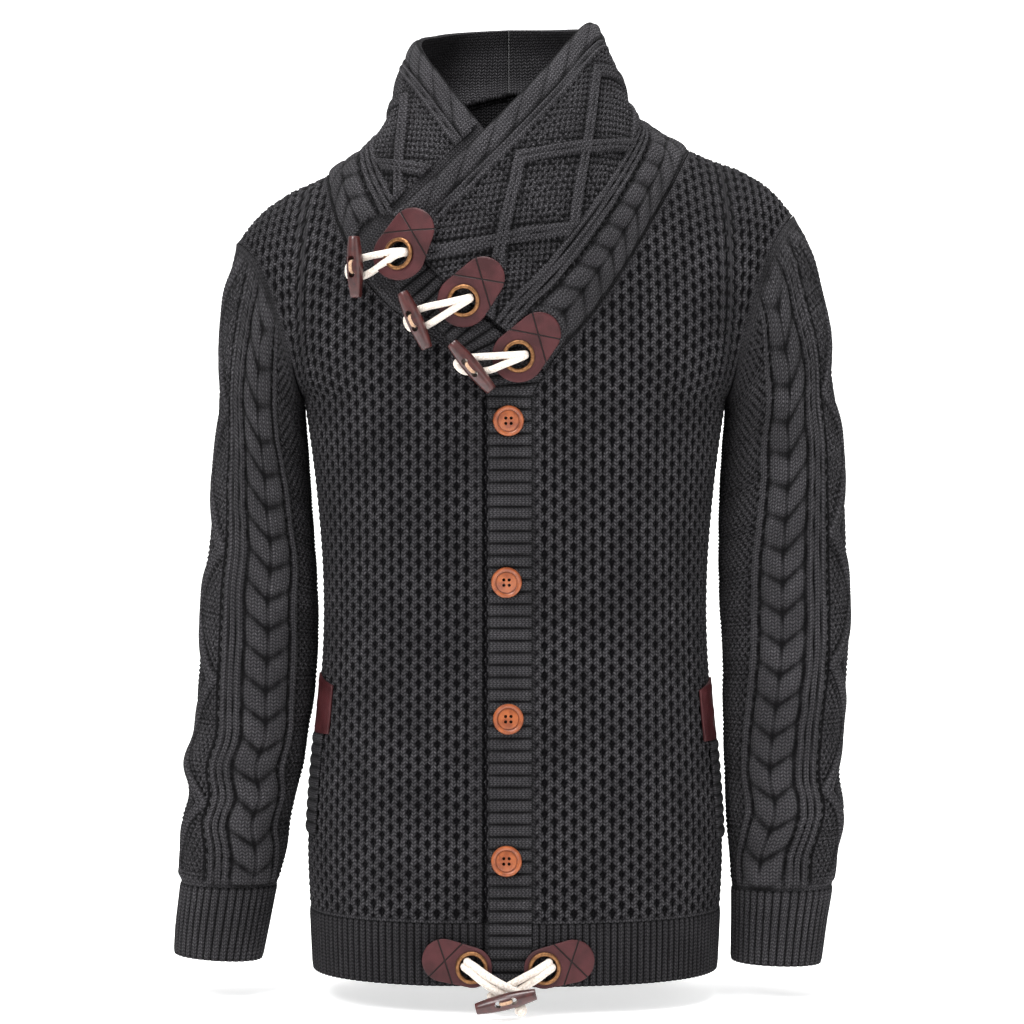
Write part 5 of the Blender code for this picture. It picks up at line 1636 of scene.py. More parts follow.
@dataclass
class BandForm:
    """The button band's line: straight up the middle, then slanting along the collar's end."""

    under: tuple = ("front_right", "hem_front_right", "collar_right")  # what it lies on
    rise: float = 0.8  # off those
    pitch: float = 9.6  # of its ribs
    cloth: float = 2.6

    def line(self, count: int) -> tuple:
        """Lines across the band, evenly spaced along its middle, and its whole length."""
        rows = np.array([row.right + row.left for row in BAND])
        knots = arc_lengths((rows[:, :2] + rows[:, 2:]) / 2)
        wanted = np.linspace(0, knots[-1], count)
        return between(wanted, knots, rows), knots[-1]

    def settled(self, depths: Array) -> Array:
        """A smoothed row of depths that nowhere lies behind the row itself."""
        padded = np.pad(depths, 3, mode="edge")
        least = np.min([padded[k : len(padded) - 6 + k] for k in range(7)], 0)
        padded = np.pad(least, 3, mode="edge")
        return np.mean([padded[k : len(padded) - 6 + k] for k in range(7)], 0)

    def ends(self, form: BodyForm) -> Array:
        """The band's two edges [2, along], laid over the right front and the under collar.

        Args:
            form: the body's form
        Returns:
            the edges' points
        """
        count = 2 * int(round(self.line(2)[1] / self.pitch)) + 1
        line, _ = self.line(count)
        ends = [form.front_point(line[:, k], line[:, k + 1]) for k in (0, 2)]
        depths = np.stack([end[:, 1] - self.rise for end in ends])
        for k, (right, left) in enumerate(zip(*ends)):
            lowest = []
            for share in np.linspace(0, 1, 7):
                spot = right + (left - right) * share
                below = NodeTrees.outermost_y(spot[0], spot[2], self.under)
                chord = depths[0, k] + (depths[1, k] - depths[0, k]) * share
                lowest.append(0 if below is None else min(0, below - self.cloth - self.rise - chord))
            depths[:, k] += min(lowest)
        for end, depth in zip(ends, depths):
            ground = form.front_point(end[:, 0], end[:, 2])[:, 1]
            end[:, 1] = self.settled(depth - ground) + ground
        return np.stack(ends)


@dataclass
class Band:
    """The ribbed button band."""

    form: BodyForm
    rib: KnitFinish
    columns: int = 15
    samples: int = 10  # rows to a rib

    def build(self) -> None:
        """Builds the band."""
        shape = BandForm()
        ends = shape.ends(self.form)
        last = ends.shape[1] - 1
        wanted = np.linspace(0, last, last // 2 * self.samples + 1)
        right, left = (between(wanted, np.arange(last + 1), end) for end in ends)
        shares = np.linspace(0, 1, self.columns)[:, None, None]
        grid = right * (1 - shares) + left * shares
        facing = unit(grid_normals(grid, (0, -1, 0)) * (0, 1, 0.3))
        u = np.broadcast_to(arc_lengths(grid)[:, :1], grid.shape[:2])
        v = np.broadcast_to(arc_lengths(np.moveaxis(grid, 0, 1))[:, self.columns // 2], grid.shape[:2])
        phase = np.broadcast_to(np.arange(grid.shape[1]) / self.samples, u.shape)
        edge = smoothstep(np.minimum(u, u.max() - u), 0, 3)
        relief = -0.7 + (2.2 * humps(phase, 0.8)) * (0.55 + 0.45 * edge)
        Cloth(
            "knit_button_band", "button_band", grid, facing, relief, np.stack([v, u], -1), shape.cloth,
            self.rib, inner_step=(4, self.samples // 2),
        ).build()


# ---------- the pockets


class Pocket(NamedTuple):
    """A pocket's leather end and ribbed edge: the front edge of each as a share of the half width,
    and the heights of the leather's top and bottom and the ribs' bottom."""

    hand: Hand
    near: float
    rib_near: float
    top: float
    bottom: float
    rib_bottom: float


POCKETS = (
    Pocket(Hand.LEFT, 0.925, 0.955, -440, -481, -560),
    Pocket(Hand.RIGHT, 0.915, 0.945, -436, -475, -556),
)


@dataclass
class Pockets:
    """The pockets' leather ends and the ribbed edges below them."""

    form: BodyForm
    rib: KnitFinish
    leather: LeatherFinish
    columns: int = 33
    ribs: int = 9
    rib_samples: int = 8  # rows to a rib
    lift: float = 0.4  # off the front
    leather_thick: float = 1.8
    rib_thick: float = 1.6

    def plate(self, pocket: Pocket, near: float, far: float, rows: Sequence, thick: float) -> tuple:
        """A plate laid round a front's side.

        Args:
            pocket: its pocket
            near, far: its ends as shares of the half width
            rows: each row's height at those ends
            thick: its thickness
        Returns:
            its grid and normals, and the distances along both directions
        """
        share = np.linspace(0, 1, self.columns)
        width = near + (far - near) * (1 - (1 - share) ** 1.8)
        lines = []
        for start, end in rows:
            z = start + (end - start) * share
            lines.append(self.form.front_point(pocket.hand.value * self.form.half_at(z) * width, z))
        grid = np.stack(lines, 1)
        facing = grid_normals(grid, (0, -1, 0))
        grid = grid + facing * (self.lift + thick)
        u = arc_lengths(grid)
        v = np.moveaxis(arc_lengths(np.moveaxis(grid, 0, 1)), 0, 1)
        return grid, facing, u, v

    def build(self) -> None:
        """Builds both pockets."""
        for pocket, word in zip(POCKETS, ("left", "right")):
            rows = [
                (z, z + 9 * (z - pocket.bottom) / (pocket.top - pocket.bottom))
                for z in np.linspace(pocket.bottom, pocket.top, 33)
            ]
            grid, facing, u, v = self.plate(pocket, pocket.near, 0.992, rows, self.leather_thick)
            wrinkle = 0.5 * np.sin(v / 3.1 + 0.6 * np.sin(u / 4.0)) * np.sin(u / 9.0 + 1.0) ** 2
            inset = np.minimum(np.minimum(u, u[-1] - u), np.minimum(v, v[:, -1:] - v))
            relief = (wrinkle + 0.2) * smoothstep(inset, 0, 4) - 0.5 * np.exp(-(((inset - 2.2) / 0.8) ** 2))
            Cloth(
                f"leather_pocket_{word}", f"pocket_leather_{word}", grid, facing, relief, np.stack([u, v], -1),
                self.leather_thick, self.leather, slot="leather", inner_step=(4, 4), held="laid",
            ).build()
            top = pocket.bottom - 0.6
            heights = np.linspace(pocket.rib_bottom, top, self.ribs * self.rib_samples + 1)
            rows = [(z, z) for z in heights]
            grid, facing, u, v = self.plate(pocket, pocket.rib_near, 0.997, rows, self.rib_thick)
            phase = np.broadcast_to(np.arange(len(heights)) / self.rib_samples, u.shape)
            relief = -0.3 + 1.2 * humps(phase, 0.8)
            Cloth(
                f"knit_pocket_{word}", f"pocket_edge_{word}", grid, facing, relief, np.stack([v, u], -1),
                self.rib_thick, self.rib, inner_step=(4, 4), held="laid",
            ).build()


# ---------- beds on the cloth


class NodeTrees:
    """Ray casts onto the CAD's nodes, in mm."""

    trees: dict = {}

    @classmethod
    def get(cls, name: str) -> BVHTree:
        """A CAD node's tree, made once."""
        if name not in cls.trees:
            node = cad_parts[name]
            points = [(node.matrix_world @ vertex.co) * 1000 for vertex in node.data.vertices]
            faces = [tuple(face.vertices) for face in node.data.polygons]
            cls.trees[name] = BVHTree.FromPolygons(points, faces)
        return cls.trees[name]

    @classmethod
    def outermost_y(cls, x: float, z: float, names: Sequence[str]) -> Optional[float]:
        """The y of the frontmost of some nodes at a spot seen from the front, or None."""
        start, ahead = Vector((x, -RAY_START, z)), Vector((0, 1, 0))
        hits = [cls.get(name).ray_cast(start, ahead, RAY_START)[0] for name in names]
        found = [hit.y for hit in hits if hit]
        return min(found) if found else None


class Bed(NamedTuple):
    """A smooth patch of surface just outside some cloth, seen from the front: its middle x and z,
    the direction of its u axis, and the factors of 1, u, v, uu, uv and vv in its y."""

    x: float
    z: float
    run: tuple
    factors: tuple

    def flat(self, u: float, v: float) -> Vector:
        """The point at u, v."""
        x = self.x + u * self.run[0] - v * self.run[1]
        z = self.z + u * self.run[1] + v * self.run[0]
        return Vector((x, sum(a * b for a, b in zip(self.factors, (1, u, v, u * u, u * v, v * v))), z))

    def point(self, u: float, v: float, out: float = 0.0) -> Vector:
        """The point at u, v, moved outwards by `out`."""
        slope_u = self.flat(u + 0.5, v) - self.flat(u - 0.5, v)
        slope_v = self.flat(u, v + 0.5) - self.flat(u, v - 0.5)
        normal = slope_u.cross(slope_v).normalized()
        return self.flat(u, v) + (normal if normal.y < 0 else -normal) * out

    def frame(self) -> Matrix:
        """A frame at its middle: X along u, Z outwards."""
        along = (self.flat(0.5, 0) - self.flat(-0.5, 0)).normalized()
        outward = (self.point(0, 0, 1) - self.point(0, 0)).normalized()
        return axes(along, outward, self.point(0, 0))

    @classmethod
    def fit(
        cls, x: float, z: float, angle: float, reach_u: tuple, reach_v: tuple, names: Sequence[str],
        clear: float = 1.2,
    ) -> "Bed":
        """Fits a bed over some nodes.

        Args:
            x, z: its middle, seen from the front
            angle: the direction of its u axis, in degrees from +X towards +Z
            reach_u, reach_v: (from, to) extents
            names: the cloth nodes below it
            clear: the least distance to the cloth
        Returns:
            the bed
        """
        run = (math.cos(math.radians(angle)), math.sin(math.radians(angle)))
        terms, depths = [], []
        for u in np.linspace(reach_u[0], reach_u[1], 17):
            for v in np.linspace(reach_v[0], reach_v[1], 13):
                y = NodeTrees.outermost_y(x + u * run[0] - v * run[1], z + u * run[1] + v * run[0], names)
                if y is not None:
                    terms.append((1, u, v, u * u, u * v, v * v))
                    depths.append(y)
        table, heights = np.array(terms), np.array(depths)
        factors = np.linalg.lstsq(table, heights, rcond=None)[0]
        factors[0] -= np.max(table @ factors - heights) + clear
        return cls(x, z, run, tuple(float(value) for value in factors))


# ---------- leather, metal, horn and cord


class Patch(NamedTuple):
    """A leather patch seen from the front: its eyelet, a point in the direction of its wide end, the
    nodes below it, the distance to the wide end's middle, and its radius round the eyelet."""

    name: str
    eyelet: tuple
    wide_end: tuple
    under: tuple
    reach: float
    nose: float


ON_COLLAR = ("collar_left", "collar_right", "button_band", "front_left", "front_right")
ON_HEM = ("hem_front_left", "hem_front_right", "button_band", "front_left", "front_right")
PATCHES = (
    Patch("1", (-90.0, -96.2), (-79.9, -77.9), ON_COLLAR, 21.9, 20.4),
    Patch("2", (-40.0, -132.4), (-25.8, -116.4), ON_COLLAR, 23.1, 20.4),
    Patch("3", (2.4, -175.4), (16.8, -159.7), ON_COLLAR, 24.0, 20.4),
    Patch("hem_right", (-33.6, -651.5), (-56.5, -646), ON_HEM, 23.0, 15.8),
    Patch("hem_left", (22.6, -652), (45.5, -646.5), ON_HEM, 23.0, 15.8),
)


class Toggle(NamedTuple):
    """A toggle seen from the front: its middle, the direction of its length in degrees from +X, and
    how far its axis stands from the cloth, over the cord behind it."""

    name: str
    x: float
    z: float
    angle: float
    stand: float
    under: tuple


TOGGLES = (
    Toggle("1", -125.4, -105.1, -88, 14.0, ON_COLLAR),
    Toggle("2", -78.0, -147.9, -66, 14.0, ON_COLLAR),
    Toggle("3", -33.8, -184.1, -50, 14.0, ON_COLLAR),
    Toggle("hem", -7.2, -674.0, 14, 20.6, ON_HEM),
)


def lathe(profile: Sequence[tuple], steps: int) -> Object:
    """Spins a closed profile about the Z axis.

    Args:
        profile: (radius, height) points in mm
        steps: faces round it
    Returns:
        the new object, active
    """
    bpy.ops.object.select_all(action="DESELECT")
    bpy.ops.mesh.primitive_circle_add(vertices=len(profile), radius=0.01)
    made = bpy.context.object
    for vertex, (radius, height) in zip(made.data.vertices, profile):
        vertex.co = (radius * MM, 0, height * MM)
    bpy.ops.object.mode_set(mode="EDIT")
    bpy.ops.mesh.select_all(action="SELECT")
    bpy.ops.mesh.spin(steps=steps, angle=2 * math.pi, center=(0, 0, 0), axis=(0, 0, 1))
    bpy.ops.mesh.select_all(action="SELECT")
    bpy.ops.mesh.remove_doubles(threshold=2e-6)
    bpy.ops.mesh.normals_make_consistent(inside=False)
    bpy.ops.object.mode_set(mode="OBJECT")
    return made


def drill(made: Object, spots: Sequence[tuple], radius: float) -> None:
    """Cuts round holes along Z through an object in its own frame, in mm.

    Args:
        made: the object
        spots: the holes' x and y
        radius: theirs
    """
    for x, y in spots:
        bpy.ops.object.select_all(action="DESELECT")
        place = (x * MM, y * MM, 0)
        bpy.ops.mesh.primitive_cylinder_add(vertices=20, radius=radius * MM, depth=0.04, location=place)
        cutter = bpy.context.object
        cut = made.modifiers.new("drill", "BOOLEAN")
        cut.object = cutter
        bpy.context.view_layer.objects.active = made
        bpy.ops.object.modifier_apply(modifier=cut.name)
        bpy.data.objects.remove(cutter, do_unlink=True)


def smoothed(made: Object, degrees: float) -> None:
    """Shades an object smooth, but for its sharper edges."""
    bpy.ops.object.select_all(action="DESELECT")
    made.select_set(True)
    bpy.context.view_layer.objects.active = made
    bpy.ops.object.shade_smooth_by_angle(angle=math.radians(degrees))


@dataclass
class Rope:
    """A round cord of laid strands along a route."""

    name: str
    node: str
    route: Sequence
    thick: float
    finish: CordFinish
    sides: int = 30
    strands: int = 5
    lay: float = 13.0  # mm for one turn of a strand
    step: float = 0.7
    groove: float = 0.07

    def frames(self, points: Array) -> tuple:
        """Two directions across the cord at each point, turned as little as can be.

        Args:
            points: the cord's middle line
        Returns:
            both directions
        """
        run = unit(np.gradient(points, axis=0))
        side = unit(np.cross(run[0], (0.31, 0.95, 0.11)))
        sides = [side]
        for direction in run[1:]:
            side = unit(side - np.dot(side, direction) * direction)
            sides.append(side)
        across = np.array(sides)
        return across, np.cross(run, across)

    def build(self) -> Object:
        """Makes the cord's mesh, with rounded ends.

        Returns:
            the cord
        """
        route = np.asarray(self.route, float)
        knots = arc_lengths(route)
        fine = spline(knots, route)(np.linspace(0, knots[-1], 600))
        total = arc_lengths(fine)[-1]
        LOG.info("cord %s: %.0f mm long, %.1f mm thick", self.name, total, self.thick)
        count = int(total / self.step)
        points = resample(fine, np.linspace(0, 1, count))
        across, over = self.frames(points)
        run = np.linspace(0, total, count)
        near = np.minimum(run, total - run)
        cap = np.sqrt(np.clip(1 - (1 - np.clip(near / (self.thick * 0.35), 0, 1)) ** 2, 0.01, 1))
        angle = 2 * math.pi * np.arange(self.sides) / self.sides
        wave = np.abs(np.sin((angle[:, None] + 2 * math.pi * run / self.lay) * self.strands / 2))
        counter = np.abs(np.sin((angle[:, None] - 2 * math.pi * run / self.lay) * self.strands / 2))
        raised = np.maximum(wave, counter * 0.9) ** 0.8
        radius = self.thick / 2 * cap * (1 - self.groove + self.groove * raised)
        grid = (
            points
            + (np.cos(angle)[:, None] * radius)[..., None] * across
            + (np.sin(angle)[:, None] * radius)[..., None] * over
        )
        index = np.arange(self.sides * count).reshape(self.sides, count)
        after = np.roll(index, -1, 0)
        corners = (index[:, :-1], after[:, :-1], after[:, 1:], index[:, 1:])
        faces = np.stack(corners, -1).reshape(-1, 4).tolist()
        faces += [index[::-1, 0].tolist(), index[:, -1].tolist()]
        mesh = bpy.data.meshes.new(self.name)
        mesh.from_pydata((grid.reshape(-1, 3) * MM).tolist(), [], faces)
        turn_outwards(mesh)
        return declare(linked(self.name, mesh), self.name, self.node, self.finish)


class HemStrand(NamedTuple):
    """A cord from a hem eyelet to the back of the hem toggle: its eyelet's patch, its distance from
    the eyelet's middle line, where it ends along the toggle and above its axis, how far behind it,
    and its heights on the way out of the eyelet."""

    name: str
    patch: int
    aside: float
    end: float
    above: float
    behind: float
    heights: tuple


HEM_LOW = (-1.5, 3.2, 5.1, 7.9, 7.0)
HEM_HIGH = (-1.5, 3.2, 5.4, 9.4, 12.6)
HEM_STRANDS = (
    HemStrand("cord_hem_right_1", 3, 2.8, 14.0, -1.0, 9.6, HEM_HIGH),
    HemStrand("cord_hem_right_2", 3, -2.8, 3.0, -1.0, 9.6, HEM_HIGH),
    HemStrand("cord_hem_left_1", 4, 2.8, -3.0, -2.0, 15.6, HEM_LOW),
    HemStrand("cord_hem_left_2", 4, -2.8, -14.0, 3.5, 15.6, HEM_LOW),
)


@dataclass
class Fastenings:
    """Leather patches with brass eyelets, and horn toggles with their cords and ties."""

    leather: LeatherFinish
    brass: BrassFinish
    horn: HornFinish
    rope: CordFinish
    twine: CordFinish
    patch_end: float = 16.7  # the radius of a patch's wide end
    patch_thick: float = 2.0
    patch_clear: float = 0.92
    leather_hole: float = 1.25  # how much wider the leather's hole is than the eyelet's
    eyelet_hole: float = 9.6
    eyelet_rim: float = 12.8
    loop_thick: float = 5.7
    loop_pressed: float = 5.2  # a loop's thickness where it lies behind its toggle
    hem_thick: float = 6.2
    knot_radius: float = 5.0
    toggle_length: float = 48.0
    toggle_thick: float = 13.0
    tie_thick: float = 2.7
    drill_x: float = 6.0  # the two holes' distance from a toggle's middle
    drill_radius: float = 2.7
    strand_start: float = 4.6  # how far inside its eyelet a cord begins
    strand_steps: tuple = (-1.2, 0.0, 6.5, 12.5, 18.5)

    def patch_bed(self, patch: Patch) -> Bed:
        """The surface a patch lies on, with its origin at the eyelet and u towards the wide end."""
        run = [b - a for a, b in zip(patch.eyelet, patch.wide_end)]
        extents = ((-patch.nose, patch.reach + self.patch_end), (-patch.nose, patch.nose))
        angle = math.degrees(math.atan2(run[1], run[0]))
        return Bed.fit(*patch.eyelet, angle, *extents, patch.under, self.patch_clear)

    def toggle_frame(self, toggle: Toggle) -> Matrix:
        """A frame at a toggle's middle: X along it, Z out of the cloth.

        Args:
            toggle: which
        Returns:
            the frame
        """
        angle = math.radians(toggle.angle)
        along = Vector((math.cos(angle), 0, math.sin(angle)))
        ground = Bed.fit(toggle.x, max(toggle.z, -655), toggle.angle, (-22, 22), (-17, 17), toggle.under)
        outward = ground.point(0, 0, 1) - ground.point(0, 0)
        outward = (outward - along * outward.dot(along)).normalized()
        middle = ground.point(0, 0) + outward * toggle.stand
        return axes(along, outward, Vector((toggle.x, middle.y, toggle.z)))

    def build_patch(self, patch: Patch) -> None:
        """Builds a leather patch: pinched at its edge, creased across its wide end, holed for its eyelet.

        Args:
            patch: which
        """
        ground = self.patch_bed(patch)
        reach, round_end = patch.reach, patch.nose
        lean = math.asin((self.patch_end - round_end) / reach)
        wide = np.linspace(-math.pi / 2 - lean, math.pi / 2 + lean, 49)
        nose = np.linspace(math.pi / 2 + lean, 3 * math.pi / 2 - lean, 41)[1:-1]
        broad = np.array([(reach + self.patch_end * math.cos(a), self.patch_end * math.sin(a)) for a in wide])
        narrow = np.array([(round_end * math.cos(a), round_end * math.sin(a)) for a in nose])
        straight = np.linspace(0, 1, 14)[1:-1, None]
        there = broad[-1] * (1 - straight) + narrow[0] * straight
        back = narrow[-1] * (1 - straight) + broad[0] * straight
        edge = np.concatenate([broad, there, narrow, back])
        inner = unit(edge) * (self.eyelet_hole + self.leather_hole)
        shares = (np.linspace(0, 1, 24) ** 0.85)[None, :, None]
        flat = inner[:, None] * (1 - shares) + edge[:, None] * shares
        spots = flat.reshape(-1, 2)
        low = np.array([ground.point(u, v) for u, v in spots]).reshape(flat.shape[:2] + (3,))
        top = np.array([ground.point(u, v, 1) for u, v in spots]).reshape(low.shape)
        facing = unit(top - low)
        inset = np.linalg.norm(edge[:, None] - flat, axis=-1)
        relief = -0.55 * (1 - smoothstep(inset, 0, 1.1))
        crossing = (reach - 1.2, 0.0)  # where the creases cross
        size = (2 * max(self.patch_end, round_end), reach + self.patch_end + round_end)
        Cloth(
            f"leather_patch_{patch.name}", f"patch_{patch.name}", low + facing * self.patch_thick, facing,
            relief, np.concatenate([flat, flat[:1]]) - crossing, self.patch_thick, self.leather,
            slot="leather", closed=True, inner_step=(4, 6), held="laid", flat=size,
        ).build()
        rim, bore, top_z = self.eyelet_rim, self.eyelet_hole, self.patch_thick
        profile = (
            (bore, 0.1), (bore, top_z + 1.2), (bore + 0.35, top_z + 1.75), (bore + 1.0, top_z + 2.1),
            (rim - 1.2, top_z + 2.0), (rim - 0.45, top_z + 1.6), (rim, top_z + 0.95),
            (rim - 0.05, top_z + 0.35), (bore + 0.8, top_z + 0.35), (bore + 0.8, 0.1),
        )
        ring = lathe(profile, 56)
        smoothed(ring, 40)
        ring.data.transform(placed(ground.frame()))
        declare(ring, f"ring_{patch.name}", f"eyelet_{patch.name}", self.brass)

    def build_toggle(self, toggle: Toggle) -> None:
        """Builds a tapered toggle, drilled twice, and the tie through it.

        Args:
            toggle: which
        """
        stick = self.toggle_frame(toggle)
        half, radius = self.toggle_length / 2, self.toggle_thick / 2
        along = np.linspace(-0.975, 0.975, 23)
        swell = 0.66 + 0.34 * (1 - np.abs(along) ** 1.8)
        profile = [(0.0, -half), (radius * 0.54, -half), (radius * 0.64, -half * 0.992)]
        profile += [(radius * s, half * a) for a, s in zip(along, swell)]
        profile += [(radius * 0.64, half * 0.992), (radius * 0.54, half), (0.0, half)]
        made = lathe(profile, 32)
        made.data.transform(Matrix.Rotation(math.pi / 2, 4, "Y"))
        drill(made, ((-self.drill_x, 0), (self.drill_x, 0)), self.drill_radius)
        smoothed(made, 35)
        made.data.transform(placed(stick))
        declare(made, f"horn_{toggle.name}", f"toggle_{toggle.name}", self.horn)
        top = radius + self.tie_thick / 2
        bridge = ((-3.9, -2.0), (-3.85, top - 2.6), (-2.9, top - 0.9), (0, top - 0.5))
        spots = list(bridge) + [(-x, z) for x, z in bridge[-2::-1]]
        route = [tuple(stick @ Vector((x, 0, z))) for x, z in spots]
        Rope(
            f"twine_{toggle.name}", f"tie_{toggle.name}", route, self.tie_thick, self.twine,
            sides=18, strands=3, lay=7.0, step=0.4,
        ).build()

    def strand(self, eye: Matrix, aside: float, goal: Vector, heights: tuple) -> list:
        """The start of a cord: from inside an eyelet, over its rim and straight to where it bends.

        Args:
            eye: the eyelet's frame
            aside: its distance from the eyelet's middle line at its start
            goal: where it bends
            heights: its height at each step out, or None to go straight on from the rim's
        Returns:
            its points
        """
        local = eye.inverted() @ goal
        end = local.to_2d()
        toward = end.normalized()
        start = Vector((-toward.y, toward.x)) * aside - toward * self.strand_start
        run = (end - start).normalized()
        rim, rim_height = self.strand_steps[2], heights[2]
        spots = []
        for ahead, height in zip(self.strand_steps, heights):
            spot = start + run * ahead
            share = (ahead - rim) / max((end - start).length - rim, 1.0)
            height = rim_height + (local.z - rim_height) * share if height is None else height
            spots.append(eye @ Vector((spot.x, spot.y, height)))
        return spots

    def loop_route(self, patch: Patch, toggle: Toggle) -> list:
        """A cord's route: out of the eyelet, under the toggle, round behind it, and back.

        Args:
            patch, toggle: those it joins
        Returns:
            its points
        """
        eye, stick = self.patch_bed(patch).frame(), self.toggle_frame(toggle)
        inward = eye.inverted()
        side = 1 if (eye.translation - stick.translation).dot(stick.col[1].to_3d()) > 0 else -1
        deep = -(self.toggle_thick + self.loop_pressed) / 2 - 0.2
        middle = (inward @ (stick @ Vector((0, 0, 0)))).to_2d()
        across = Vector((-middle.y, middle.x))
        stick_run = (inward @ (stick @ Vector((1, 0, 0)))).to_2d() - middle
        way = (stick.inverted() @ eye.translation).to_2d()
        slant = way.x / max(abs(way.y), 1.0)
        arms = []
        for sign in (1, -1):
            bend = [
                stick @ Vector((sign * spread + slant * aside, side * aside, deep + lift))
                for spread, aside, lift in ((6.6, 7.5, 0.9), (7.0, 1.0, 0), (6.2, -5.0, 0.2))
            ]
            lean = sign if across.dot(stick_run) > 0 else -sign
            arms.append(self.strand(eye, 1.7 * lean, bend[0], (-1.5, 2.6, 5.4, None, None)) + bend)
        tips = [stick @ Vector((x - slant * y, -side * y, deep + 0.6)) for x, y in ((3.8, 10.4), (-3.8, 10.4))]
        return [tuple(point) for point in arms[0] + tips + arms[1][::-1]]

    def build_hem_cords(self) -> None:
        """Builds the cords that cross at the hem, and the knot at their end."""
        stick = self.toggle_frame(TOGGLES[3])
        for row in HEM_STRANDS:
            eye = self.patch_bed(PATCHES[row.patch]).frame()
            end = stick @ Vector((row.end, row.above, -row.behind))
            points = self.strand(eye, row.aside, end, row.heights) + [end]
            name = row.name.replace("cord", "rope")
            Rope(name, row.name, [tuple(point) for point in points], self.hem_thick, self.rope).build()
        bpy.ops.object.select_all(action="DESELECT")
        bpy.ops.mesh.primitive_ico_sphere_add(subdivisions=5, radius=self.knot_radius * MM)
        knot = bpy.context.object
        for vertex in knot.data.vertices:
            x, y, z = vertex.co * 1000
            turn = math.atan2(z, x)
            lump = abs(math.sin(2.5 * turn + 0.5 * y)) ** 0.7
            vertex.co *= 0.86 + 0.14 * lump
        knot.data.transform(placed(stick @ Matrix.Translation((9.5, -9.8, -3.4))))
        smoothed(knot, 60)
        declare(knot, "rope_knot", "cord_knot", self.rope)

    def build(self) -> None:
        """Builds every patch, eyelet, toggle, tie and cord."""
        for patch in PATCHES:
            self.build_patch(patch)
        for toggle in TOGGLES:
            self.build_toggle(toggle)
        for patch, toggle in zip(PATCHES[:3], TOGGLES[:3]):
            route = self.loop_route(patch, toggle)
            Rope(f"rope_{toggle.name}", f"cord_{toggle.name}", route, self.loop_thick, self.rope).build()
        self.build_hem_cords()


@dataclass
class Buttons:
    """Four round buttons with a raised rim and four holes."""

    finish: ButtonFinish
    radius: float = 12.0
    hole_x: float = 2.1
    hole_radius: float = 1.25
    places: tuple = ((-5.2, -225.5), (-6.8, -352), (-5.4, -459), (-6.8, -569))
    clear: float = 0.4  # off the band

    def build(self) -> None:
        """Builds the buttons on the band."""
        r = self.radius
        profile = (
            (0, 0), (r - 1.6, 0), (r - 0.5, 0.5), (r, 1.4), (r - 0.1, 2.3), (r - 0.6, 3.0), (r - 1.4, 3.25),
            (r - 2.3, 3.1), (r - 3.0, 2.6), (r - 3.2, 1.2), (r - 3.9, 1.2), (r - 4.2, 2.0), (r - 5.0, 2.1),
            (0, 2.1),
        )
        holes = [(x, y) for x in (-self.hole_x, self.hole_x) for y in (-self.hole_x, self.hole_x)]
        for k, (x, z) in enumerate(self.places, 1):
            place = Bed.fit(x, z, 0, (-r, r), (-r, r), ("button_band",), self.clear).frame()
            made = lathe(profile, 64)
            drill(made, holes, self.hole_radius)
            smoothed(made, 30)
            made.data.transform(placed(place))
            declare(made, f"disc_{k}", f"button_{k}", self.finish)


# ---------- the studio


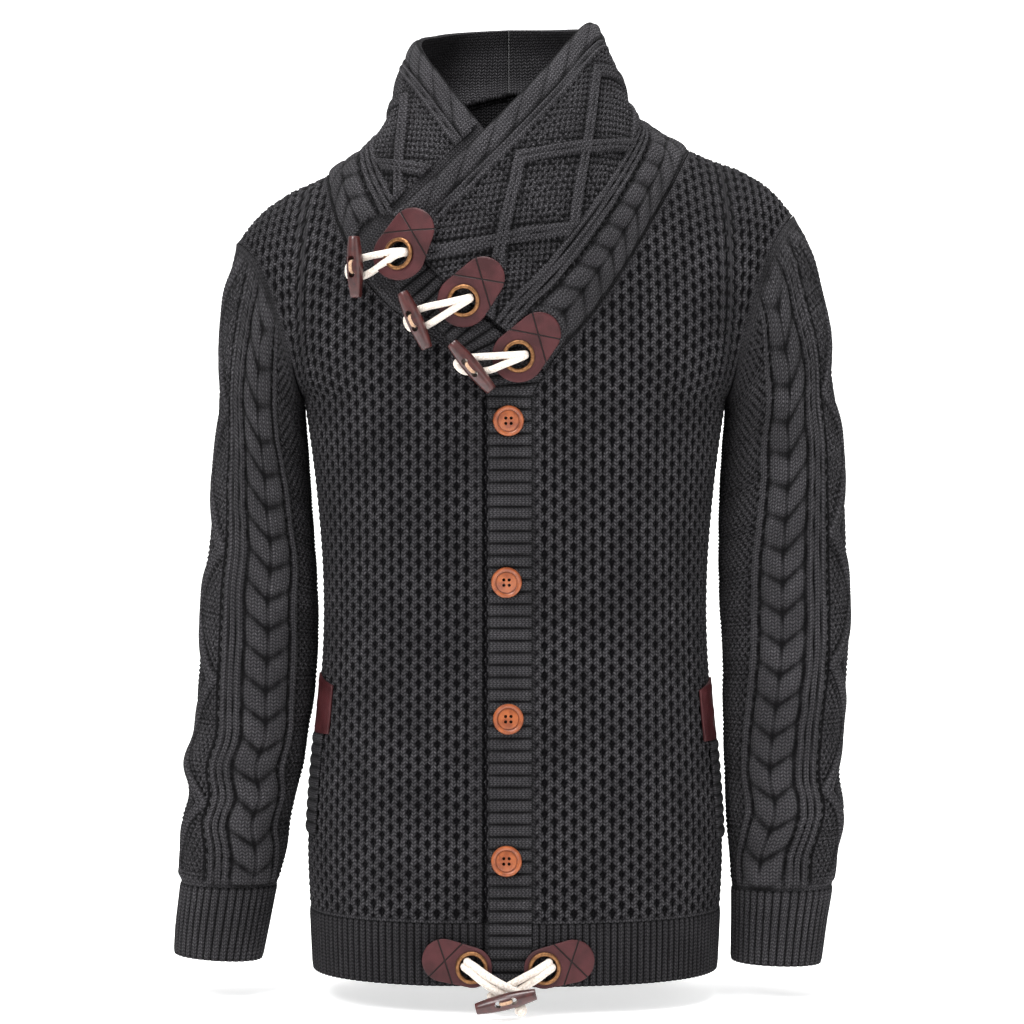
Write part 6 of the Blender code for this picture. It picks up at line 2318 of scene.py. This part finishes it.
@dataclass
class Studio:
    """A pale sweep, soft lights and the photo's camera: in metres, but for the eye."""

    eye_x: float = -2.5  # mm
    eye_z: float = -296.8  # mm
    distance: float = 2.55
    frame_wide: float = 0.8397  # what the picture's width covers at the garment
    sensor: float = 36.0  # mm
    floor_z: float = -0.690
    reach: float = 6.0  # of the sweep to each side, forwards and up
    curve_y: float = 3.4  # where the floor begins to curve up
    curve: float = 1.2  # the curve's radius
    backdrop_glow: float = 0.55
    world_light: float = 0.50
    aim_z: float = -0.3

    def sweep(self) -> Object:
        """A floor that curves up into the backdrop.

        Returns:
            the sweep
        """
        radius, floor = self.curve, self.floor_z
        profile = [(-self.reach, floor), (self.curve_y, floor)]
        for turn in np.linspace(0.1, math.pi / 2, 14):
            profile.append((self.curve_y + radius * math.sin(turn), floor + radius - radius * math.cos(turn)))
        profile.append((self.curve_y + radius, self.reach))
        points = [(x, y, z) for x in (-self.reach, self.reach) for y, z in profile]
        count = len(profile)
        faces = [(k, k + 1, count + k + 1, count + k) for k in range(count - 1)]
        mesh = bpy.data.meshes.new("sweep")
        mesh.from_pydata(points, [], faces)
        mesh.shade_smooth()
        shader = Shader("paper")
        grain = shader.noise(40.0, 2.0)
        color = shader.mix(grain * 0.05, (0.93, 0.93, 0.93), (0.86, 0.86, 0.87))
        glow = {"Emission_Color": (1.0, 1.0, 1.0, 1.0), "Emission_Strength": self.backdrop_glow}
        mesh.materials.append(shader.finish(color, 0.9, grain, 0.0001, **glow))
        return linked("sweep", mesh)

    def light(self, name: str, place: tuple, size: float, power: float) -> Object:
        """A square soft light aimed at the middle of the garment.

        Args:
            name: its name
            place: in metres
            size: its side in metres
            power: in watts
        Returns:
            the light
        """
        data = bpy.data.lights.new(name, "AREA")
        data.shape, data.size, data.energy = "SQUARE", size, power
        made = linked(name, data)
        made.location = place
        aim = Vector((0, 0, self.aim_z)) - Vector(place)
        made.rotation_euler = aim.to_track_quat("-Z", "Y").to_euler()
        return made

    def build(self) -> None:
        """Builds the studio and sets the scene's camera."""
        scene = bpy.context.scene
        lights = [
            self.light("key_light", (-1.3, -2.3, 1.9), 1.3, 74.0),
            self.light("fill_light", (1.9, -2.2, 0.5), 1.8, 14.0),
            self.light("top_light", (0.0, -0.3, 2.3), 1.4, 95.0),
        ]
        self.sweep()
        world = bpy.data.worlds.new("studio")
        scene.world = world
        world.use_nodes = True
        color, strength = world.node_tree.nodes["Background"].inputs[:2]
        color.default_value, strength.default_value = (1, 1, 1, 1), self.world_light
        scene.view_settings.view_transform = "Standard"
        data = bpy.data.cameras.new("camera")
        data.lens = self.sensor * self.distance / self.frame_wide
        camera = linked("camera", data)
        camera.location = (self.eye_x * MM, -self.distance, self.eye_z * MM)
        camera.rotation_euler = (math.pi / 2, 0, 0)
        scene.camera = camera


# ---------- everything in order


def main() -> None:
    """Builds and dresses the cardigan, piece by piece."""
    logging.basicConfig(level=logging.INFO, format="%(message)s")
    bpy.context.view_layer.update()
    form = BodyForm()
    soft = (0.0062, 0.0060, 0.0066)  # the painted shade in the pits of the raised knit, which isn't as dark
    cable = KnitFinish("knit_cable", deep=soft, pit_shade_low=0.02, pit_shade_high=0.72)
    rib = KnitFinish("knit_rib", wide=3.4, deep=soft, pit_shade_low=0.0, pit_shade_high=0.75)
    # painted shade: a darker copy of the rib finish, for the hem
    shaded_rib = replace(
        rib, name="knit_rib_dim", base=(0.050, 0.048, 0.052), deep=(0.0055, 0.0052, 0.0058),
        fleck=(0.080, 0.076, 0.082),
    )
    body = Body(form, KnitFinish("knit_body"), shaded_rib)
    for piece in (
        body,
        Sleeves(body, cable, rib),
        Collar(form, cable),
        Band(form, rib),
        Pockets(form, rib, LeatherFinish()),
        Fastenings(
            LeatherFinish("leather_creased", True), BrassFinish(), HornFinish(), CordFinish(),
            CordFinish("cord_tan", (0.52, 0.33, 0.21), (0.26, 0.14, 0.08)),
        ),
        Buttons(ButtonFinish()),
    ):
        piece.build()
        LOG.info("built %s", type(piece).__name__)
    Studio().build()


if __name__ == "__main__":
    main()
